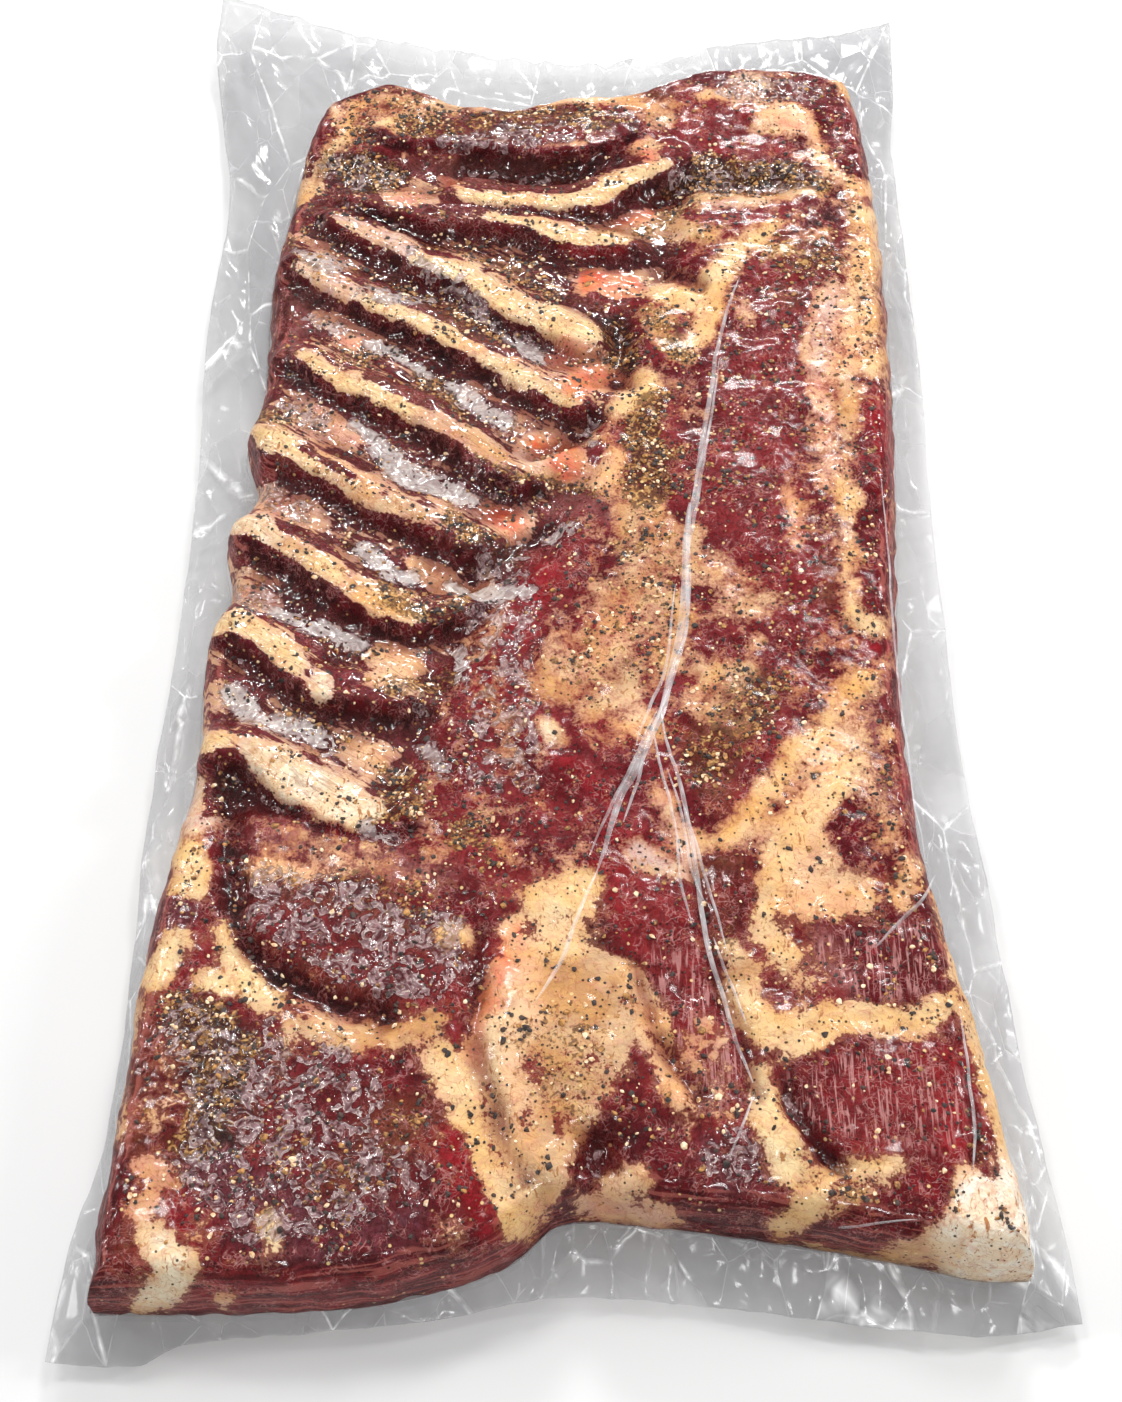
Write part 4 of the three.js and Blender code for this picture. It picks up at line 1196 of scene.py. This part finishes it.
# Painted highlight: thin near-white lines along the torn edges of the juice, where the film over it catches
# the light
rings = (veil.near(0.59, 0.06) + veil.near(0.9, 0.06) * 0.8) * cloud
body = flesh.mix(rings * 0.9, body, rgba(linear((240, 232, 228))))
# Painted shade: the hollows between the ridges turn a deep dark red, except where juice veils them
shade = flesh.layer("hollow_shade") * (1 - veil.over(0.56, 0.1)) * 0.75
body = flesh.mix(shade, body, [0.22, 0.01, 0.02, 1.0], "MULTIPLY")
body = flesh.mix(1.0, body, [0.76, 0.74, 0.71, 1.0], "MULTIPLY")
print("with juice", len(flesh.tree.nodes))

# %% The skin of the meat
rough = (ragged + fine * 0.3) * (1 - veil.over(0.56, 0.1) * 0.9)
bumps = flesh.node("Bump", {}, {"Strength": 0.7, "Distance": 0.0008, "Height": rough})
skin = flesh.node("BsdfPrincipled", {}, {
    "Base Color": body, "Roughness": 0.5 + rub * 0.2, "Normal": bumps, "Specular IOR Level": 0.06})
flesh.show(skin, meat)
print("meat nodes", len(flesh.tree.nodes))

# %% [markdown]
# ## The film
# Thick clear film shows only by what it reflects. A glass shader would bend light and fill the shadows
# with noise. A mix of Transparent and a shiny Principled, with Fresnel as its share, gives the same
# highlights for little. The mesh spans the hollows; its small wrinkles are finer than that mesh, so a bump
# of two smooth noises carries them. It is stronger over the ribs and the juice, where the film is slack.

# %% Film over the slab
FILM_LIFT = 0.4
MOST_GLOSS = 0.045
LEAST_CLEAR = 0.03
CLEAR_WHITE = [0.95, 0.95, 0.95, 1]
SLICK_FLAT = 0.32
SLICK_WALLS = 0.7
# Each crumple: size, height of its bump, depth of the painted facet shading, and whiteness of its creases,
# part stress whitening and part painted highlight
CRUMPLES = [(32, 1.4, 0.30, 0.9), (13, 0.4, 0.16, 0.35)]
film_points = np.dstack([top_xy, film_z + FILM_LIFT])
film_rings = wall_rings((film_z + FILM_LIFT).reshape(-1)[rim_grid], np.zeros(RING))
film_points, film_faces = shell(film_points, film_rings)
film = piece_from("pouch_film", film_points, film_faces)


def crumple(cling, size):
    """Facets that fall to 0 at straight creases, and one steady random number for each facet."""
    cells = {"Vector": cling.place((1, 0.5, 1)), "Scale": 1 / size}
    nearest = cling.node("TexVoronoi", {"feature": "F1"}, cells, "Distance")
    second = cling.node("TexVoronoi", {"feature": "F2"}, cells, "Distance")
    colour = cling.node("TexVoronoi", {}, cells, "Color")
    return second * second - nearest * nearest, cling.node("SeparateColor", {}, {0: colour}, 0)


def film_finish(name, piece, soft, crisp, cloudy, gloss):
    """Clear film; soft and crisp scale its wrinkles and creases, and cloudy is its share of grey."""
    cling = Finish(name)
    at = cling.place()
    _, veil = juice_edge(cling, at)
    slick = cling.layer("slick")
    creased = cling.grain(at, 9, 1, 0.4, 0.6) * 3.2 + cling.grain(at, 4, 0, 0.5, 0.4) * 0.35
    creased = creased * slick * soft + veil.over(0.5, 0.5) * 0.25
    uneven = cling.grain(at, 9, 2, 0.6, 0.5).over(0.5, 0.3)
    if crisp:
        # Painted light on the margin: a slightly different grey for each facet is painted shading, and the
        # white creases are partly stress whitening and partly painted highlight
        creases = 0
        for size, height, depth, white in CRUMPLES:
            facet, facet_shade = crumple(cling, size)
            creased = creased + facet * (height * crisp)
            cloudy = (facet_shade - 0.5) * depth + cloudy
            creases = facet.near(0.0, 0.04) * uneven * white + creases
        gloss = {**gloss, "Base Color": cling.mix(creases, gloss["Base Color"], CLEAR_WHITE)}
        cloudy = (creases * 0.6 + cloudy).most(LEAST_CLEAR)
    else:
        cloudy = uneven * cloudy + cloudy * 0.5
    bent_film = cling.node("Bump", {}, {"Strength": 0.8, "Distance": 0.001, "Height": creased})
    edge_on = cling.node("Fresnel", {}, {"IOR": 1.33, "Normal": bent_film}).least(MOST_GLOSS) * slick
    through = cling.node("BsdfTransparent", {}, {"Color": [1, 1, 1, 1]})
    sheen = cling.node("BsdfPrincipled", {}, {**gloss, "Normal": bent_film})
    cling.show(cling.node("MixShader", {}, {0: edge_on + cloudy, 1: through, 2: sheen}), piece)
    print(name, "finish of", len(cling.tree.nodes), "nodes")


keep_layer(film, "juice", np.concatenate([juice_amount.ravel(), wall_paint[3]]))
slick = np.clip(SLICK_FLAT + np.maximum(0.8 * top_paint[6], juice_amount), 0, 1.3)
keep_layer(film, "slick", np.concatenate([slick.ravel(), np.full(on_wall, SLICK_WALLS)]))
film_finish("pouch_film", film, 1.0, 0.0, 0.0, {
    "Base Color": [1, 1, 1, 1], "Metallic": 1.0, "Roughness": 0.11})

# %% [markdown]
# ## The loose margin
# Round the slab the two films lie on each other, stiff and crumpled. Crumpled film is made of flat facets
# with straight creases between them, where a smooth noise would look like cloth. The squared distances to
# the nearest and the second nearest of some scattered points differ by just such a surface: flat between
# straight lines. Two sizes of it bend the mesh of each sheet, and the finish uses it again for sharper
# creases, painted whiter than the facets, partly as the film's stress whitening and partly as painted
# highlights, and for a slightly different grey of each facet, which is painted shading.

# %% Two sheets of crumpled film
MARGIN_ROWS = 22
LIFTED_CORNER = (-148, 291)
LOWEST_UPPER = 1.2
LOWEST_LOWER = 0.5


def facets(xy, width, seed):
    """Flat facets from 0 to about 1 with straight creases between them, width mm apart."""
    cell = np.floor(xy / width).astype(np.int64)
    nearest, second = np.full(xy.shape[:-1], 1e9), np.full(xy.shape[:-1], 1e9)
    for step in np.ndindex(5, 5):
        i, j = np.moveaxis(cell + step - 2, -1, 0)
        spot = np.stack([i + lattice(i, j, 0, seed) / 2, j + lattice(i, j, 1, seed) / 2], -1) + 0.5
        away = ((xy / width - spot) ** 2).sum(-1)
        second = np.minimum(second, np.maximum(nearest, away))
        nearest = np.minimum(nearest, away)
    return second - nearest


def margin_height(xy, share):
    """The middle of the margin, which droops towards its edge and waves up and down."""
    x, y = xy[..., 0], xy[..., 1]
    waves = 1.6 * np.sin(x / 19 + 0.4) * np.cos(y / 31) + 1.1 * np.sin(y / 17 + x / 40)
    lift = 7 * bell((x - LIFTED_CORNER[0]) / 30) * bell((y - LIFTED_CORNER[1]) / 30)
    return SEAM_HEIGHT - MARGIN_DROOP * share + (waves + lift) * share


rows = np.linspace(0, 1, MARGIN_ROWS + 1)[:, None, None]
margin_xy = (meat_edge + inward * 1.0) * (1 - rows) + pouch_edge * rows
margin_mid = margin_height(margin_xy, rows[..., 0])
folds = 2.8 * facets(margin_xy * (1, 0.45), 18, 41) - 1.6
folds = folds + 1.0 * facets(margin_xy * (1, 0.6), 8, 42)
margin_mid = margin_mid + folds * smooth(rows[..., 0] / 0.25)
thick = 0.15 + 0.6 * smooth(1 - 3 * rows[..., 0])
upper = np.dstack([margin_xy, np.maximum(margin_mid + thick, LOWEST_UPPER)])
lower = np.dstack([margin_xy, np.maximum(margin_mid - thick, LOWEST_LOWER)])
sheets = np.concatenate([upper, lower[::-1]])
number = np.arange(len(sheets) * RING).reshape(len(sheets), RING)
sheet_faces = np.concatenate([strip_faces(a, b) for a, b in zip(number, np.roll(number, -1, 0))])
margin = piece_from("pouch_margin", sheets.reshape(-1, 3), sheet_faces.tolist())
keep_layer(margin, "slick", np.ones(len(sheets) * RING))
film_finish("pouch_margin", margin, 0.0, 1.6, 0.32, {
    "Base Color": [0.40, 0.40, 0.41, 1], "Roughness": 0.14, "Specular IOR Level": 0.3})
print("margin from", sheets[..., 2].min().round(1), "to", sheets[..., 2].max().round(1), "mm")

# %% [markdown]
# Where too much film is drawn over a hollow it stands up in long thin tents, white along the crest
# because they catch the light from every side. A bump can't stand up, so each tent is a narrow strip of
# its own with a raised middle line, laid on the film by casting a ray down on it.

# %% Tents of film over the slab
TENTS = [
    (0.9, [(68, 105), (63, 90), (57, 65), (55, 50), (50, 20), (48, 5), (45, -10), (43, -30), (42, -58),
        (38, -70)]),
    (0.6, [(58, 62), (53, 28), (49, 12), (46, -2)]), (0.6, [(54, 34), (49, 4), (46, -14), (44, -28)]),
    (1.8, [(45, -4), (43, -30), (41, -56), (37, -74), (32, -90)]),
    (0.6, [(39, -40), (35, -72), (29, -88), (24, -104)]),
    (1.4, [(38, -70), (34, -85), (31, -95), (25, -110), (20, -120), (17, -130), (12, -148)]),
    (0.6, [(31, -90), (24, -108), (17, -124), (9, -144)]),
    (0.6, [(34, -84), (29, -100), (24, -118), (20, -132)]),
    (0.7, [(12, -148), (5, -165), (0, -180), (-7, -192)]),
    (0.8, [(32, -90), (35, -105), (38, -120), (42, -150), (43, -165), (45, -180), (49, -195),
        (53, -208), (56, -218)]),
    (0.5, [(30, -96), (32, -112), (35, -128), (38, -146)]),
    (0.5, [(34, -112), (38, -130), (40, -146), (44, -160)]),
    (0.5, [(38, -124), (42, -140), (46, -158), (50, -176)]),
    (0.5, [(36, -132), (37, -150), (40, -168)]),
    (0.5, [(46, -172), (50, -186), (55, -200)]), (0.4, [(56, -222), (52, -232), (48, -241)]),
    (0.6, [(116, -150), (110, -160), (103, -167), (95, -175)]),
    (0.4, [(113, 8), (112.5, -30), (111.5, -70), (111.5, -110), (113, -145)]),
    (0.5, [(118, -196), (119, -215), (119, -232), (117, -244)]),
    (0.4, [(58, -263), (78, -261), (100, -258)]),
]
TENT_SECTION = [(-1, 0.0), (-0.35, 0.5), (0, 0.85), (0.35, 0.5), (1, 0.0)]
film_tree = BVHTree.FromPolygons((film_points * MM).tolist(), film_faces[:-1])


def film_height(x, y):
    """Height of the film in mm straight above a place."""
    hit = film_tree.ray_cast((x * MM, y * MM, 0.1), (0, 0, -1))[0]
    return hit.z / MM if hit else SEAM_HEIGHT


def on_slab(x, y, z):
    """The place at height z that shows at (x, y) of the drawing."""
    reach = (DRAWN_FROM[2] - z) / (DRAWN_FROM[2] - DRAWN_HEIGHT)
    x, y = np.array([x, y]) - DRAWN_FROM[:2]
    return np.array([DRAWN_FROM[0] + x * reach, DRAWN_FROM[1] + y * reach])


def tent(line, width):
    """Points and faces of one strip: both feet on the film, the crest above it."""
    path = bent([(x, y, 1.0) for x, y in line], 8)[:, :2]
    path = path + wander(path, 0.35) - path
    run = np.gradient(path, axis=0)
    across = np.stack([-run[:, 1], run[:, 0]], 1) / np.linalg.norm(run, axis=1, keepdims=True)
    taper = np.sin(np.linspace(0.05, np.pi - 0.05, len(path))) ** 0.5
    p = []
    for share, lift in TENT_SECTION:
        xy = path + across * (share * width * taper)[:, None]
        z = [DRAWN_HEIGHT] * len(xy)
        for _ in range(3):
            z = [film_height(*on_slab(x, y, old)) for (x, y), old in zip(xy, z)]
        spots = [on_slab(x, y, old) for (x, y), old in zip(xy, z)]
        p.append([(q[0], q[1], h + 0.1 + lift * width * t) for q, h, t in zip(spots, z, taper)])
    return np.array(p).reshape(-1, 3), grid_faces(len(TENT_SECTION), len(path))


tent_points, tent_faces, count = [], [], 0
for width, line in TENTS:
    p, f = tent(line, width)
    tent_points.append(p)
    tent_faces.append(f + count)
    count += len(p)
tent_points, tent_faces = np.concatenate(tent_points), np.concatenate(tent_faces).tolist()
tents = piece_from("film_tents", tent_points, tent_faces)
keep_layer(tents, "slick", np.ones(count))
film_finish("film_tents", tents, 0.5, 0.0, 0.22, {
    "Base Color": [0.95, 0.94, 0.95, 1], "Roughness": 0.15})

# %% [markdown]
# ## Pepper and spice
# The rub is cracked pepper, brown crumbs and pale bits, most of them one or two millimetres across. At
# that size each grain is a lump with a few facets, so a twenty-sided solid squashed a little differently
# each time is enough. They are true pieces of mesh, sunk half way into the meat and joined by kind.

# %% Scatter the grains
def grain_cage():
    """The twelve corners and twenty faces of an icosahedron."""
    g = (1 + 5 ** 0.5) / 2
    corners = [(-1, g, 0), (1, g, 0), (-1, -g, 0), (1, -g, 0), (0, -1, g), (0, 1, g),
               (0, -1, -g), (0, 1, -g), (g, 0, -1), (g, 0, 1), (-g, 0, -1), (-g, 0, 1)]
    faces = [(0, 11, 5), (0, 5, 1), (0, 1, 7), (0, 7, 10), (0, 10, 11), (1, 5, 9), (5, 11, 4),
             (11, 10, 2), (10, 7, 6), (7, 1, 8), (3, 9, 4), (3, 4, 2), (3, 2, 6), (3, 6, 8),
             (3, 8, 9), (4, 9, 5), (2, 4, 11), (6, 2, 10), (8, 6, 7), (9, 8, 1)]
    return np.array(corners) / (1 + g * g) ** 0.5, np.array(faces)


CAGE, CAGE_FACES = grain_cage()
GRAIN_FLATNESS = 0.6


def grains(name, count, weight, radius, seed):
    """Squashed lumps on the rib side, more of them where weight is higher."""
    rng = np.random.default_rng(seed)
    w = np.clip(weight[:-1, :-1], 0, None).ravel()
    j, i = np.unravel_index(rng.choice(len(w), count, p=w / w.sum()), (CELLS_ALONG, CELLS_ACROSS))
    u, v = rng.random((2, count, 1))
    a, b = top_points[j, i], top_points[j, i + 1]
    c, d = top_points[j + 1, i], top_points[j + 1, i + 1]
    centre = (a * (1 - u) + b * u) * (1 - v) + (c * (1 - u) + d * u) * v
    size = radius * (0.35 + 0.7 * rng.random((count, 1, 1)) ** 3) * rng.uniform(0.6, 1.2, (count, 12, 1))
    size = size * rng.uniform(0.6, 1.25, (count, 1, 3))
    spin, tip = rng.uniform(0, 2 * np.pi, (count, 1)), rng.uniform(-0.9, 0.9, (count, 1))
    x, y, z = np.moveaxis(CAGE * size, -1, 0)
    y, z = y * np.cos(tip) - z * np.sin(tip), (y * np.sin(tip) + z * np.cos(tip)) * GRAIN_FLATNESS
    x, y = x * np.cos(spin) - y * np.sin(spin), x * np.sin(spin) + y * np.cos(spin)
    p = np.stack([x, y, z], -1) + centre[:, None] + (0, 0, 0.1 * radius)
    faces = CAGE_FACES + 12 * np.arange(count)[:, None, None]
    piece = piece_from(name, p.reshape(-1, 3), faces.reshape(-1, 3).tolist())
    piece.data.polygons.foreach_set("use_smooth", [False] * len(piece.data.polygons))
    return piece


spread = top_paint[4] * (1 - 0.8 * top_paint[3])
clumps = smooth(noise(top_points, 9, 51) * 0.8 + 0.6) * smooth(noise(top_points, 4, 52) + 0.6)
pepper = grains("black_pepper", 6400, clumps * (spread ** 1.3 + 0.2), 1.2, 61)
brown = grains("brown_spice", 3600, clumps * (spread ** 1.3 + 0.06), 1.3, 62)
pale = grains("pale_spice", 2400, clumps * (spread ** 1.2 + 0.16), 1.15, 63)


def grain_finish(name, piece, dark, light):
    """Dull broken spice: every millimetre somewhere between a dark and a light colour."""
    dust = Finish(name)
    at = dust.place()
    share = dust.grain(at, 1.4, 1, 0.5).over(0.5, 0.35)
    colour = dust.mix(share, rgba(linear(dark)), rgba(linear(light)))
    rough = dust.node("Bump", {}, {"Strength": 0.4, "Distance": 0.0002, "Height": dust.grain(at, 0.3)})
    crumbs = dust.node("BsdfPrincipled", {}, {"Base Color": colour, "Roughness": 0.6, "Normal": rough})
    dust.show(crumbs, piece)


grain_finish("black_pepper", pepper, (18, 12, 12), (66, 44, 36))
grain_finish("brown_spice", brown, (86, 50, 28), (186, 132, 68))
grain_finish("pale_spice", pale, (196, 150, 104), (246, 222, 186))

# %% [markdown]
# ## Table, light and camera
# A white table in a bright, even room, with three small lamps overhead, one behind the far end and one
# at each side. The small lamps put the small highlights on the film, and the one behind lets a soft
# shadow fall towards the viewer. The view transform is the plain one, because whites must come out white.

# %% Floor and light
ROOM_LIGHT = 0.34
TABLE_HALF = 3
scene = bpy.context.scene
scene.view_settings.view_transform = "Standard"
world = bpy.data.worlds.new("studio")
world.use_nodes = True
room = world.node_tree.nodes["Background"]
room.inputs["Color"].default_value = (1, 1, 1, 1)
room.inputs["Strength"].default_value = ROOM_LIGHT
scene.world = world

floor_mesh = bpy.data.meshes.new("table")
table_corners = [(TABLE_HALF * x, TABLE_HALF * y, 0) for x, y in ((-1, -1), (1, -1), (1, 1), (-1, 1))]
floor_mesh.from_pydata(table_corners, [], [(0, 1, 2, 3)])
floor = bpy.data.objects.new("table", floor_mesh)
bpy.context.collection.objects.link(floor)
table = Finish("table")
white = table.mix(table.grain(table.place(), 60, 2), [0.64, 0.64, 0.64, 1], [0.66, 0.66, 0.66, 1])
table.show(table.node("BsdfPrincipled", {}, {"Base Color": white, "Roughness": 0.9, "IOR": 1.1}), floor)


LAMPS = {
    "overhead near": ((0.1, -0.7, 1.25), (0.22, 0.22), 7),
    "overhead left": ((-0.5, 0.5, 1.2), (0.2, 0.2), 6),
    "overhead right": ((0.4, 0.8, 1.15), (0.2, 0.2), 5),
    "behind": ((0.2, 1.5, 1.0), (0.4, 0.2), 17),
    "right side": ((1.2, 0.1, 0.7), (0.12, 0.6), 9),
    "left side": ((-1.2, 0.2, 0.8), (0.12, 0.6), 6),
}
for name, (place, (wide, tall), power) in LAMPS.items():
    light = bpy.data.lights.new(name, "AREA")
    light.shape = "RECTANGLE"
    light.size = wide
    light.size_y = tall
    light.energy = power
    lamp = bpy.data.objects.new(name, light)
    lamp.location = place
    lamp.rotation_euler = (-lamp.location).to_track_quat("-Z", "Y").to_euler()
    bpy.context.collection.objects.link(lamp)
print(len(LAMPS), "lamps, all turned to the middle of the slab")

# %% Camera
CAMERA_TILT = 32.6
lens = bpy.data.cameras.new("camera")
lens.lens = 50.0
lens.sensor_width = 36.0
camera = bpy.data.objects.new("camera", lens)
camera.location = (0.0, -0.42974, 0.57065)
camera.rotation_euler = (math.radians(CAMERA_TILT), 0, 0)
bpy.context.collection.objects.link(camera)
scene.camera = camera
print("camera looks down at", round(90 - CAMERA_TILT, 1), "degrees")
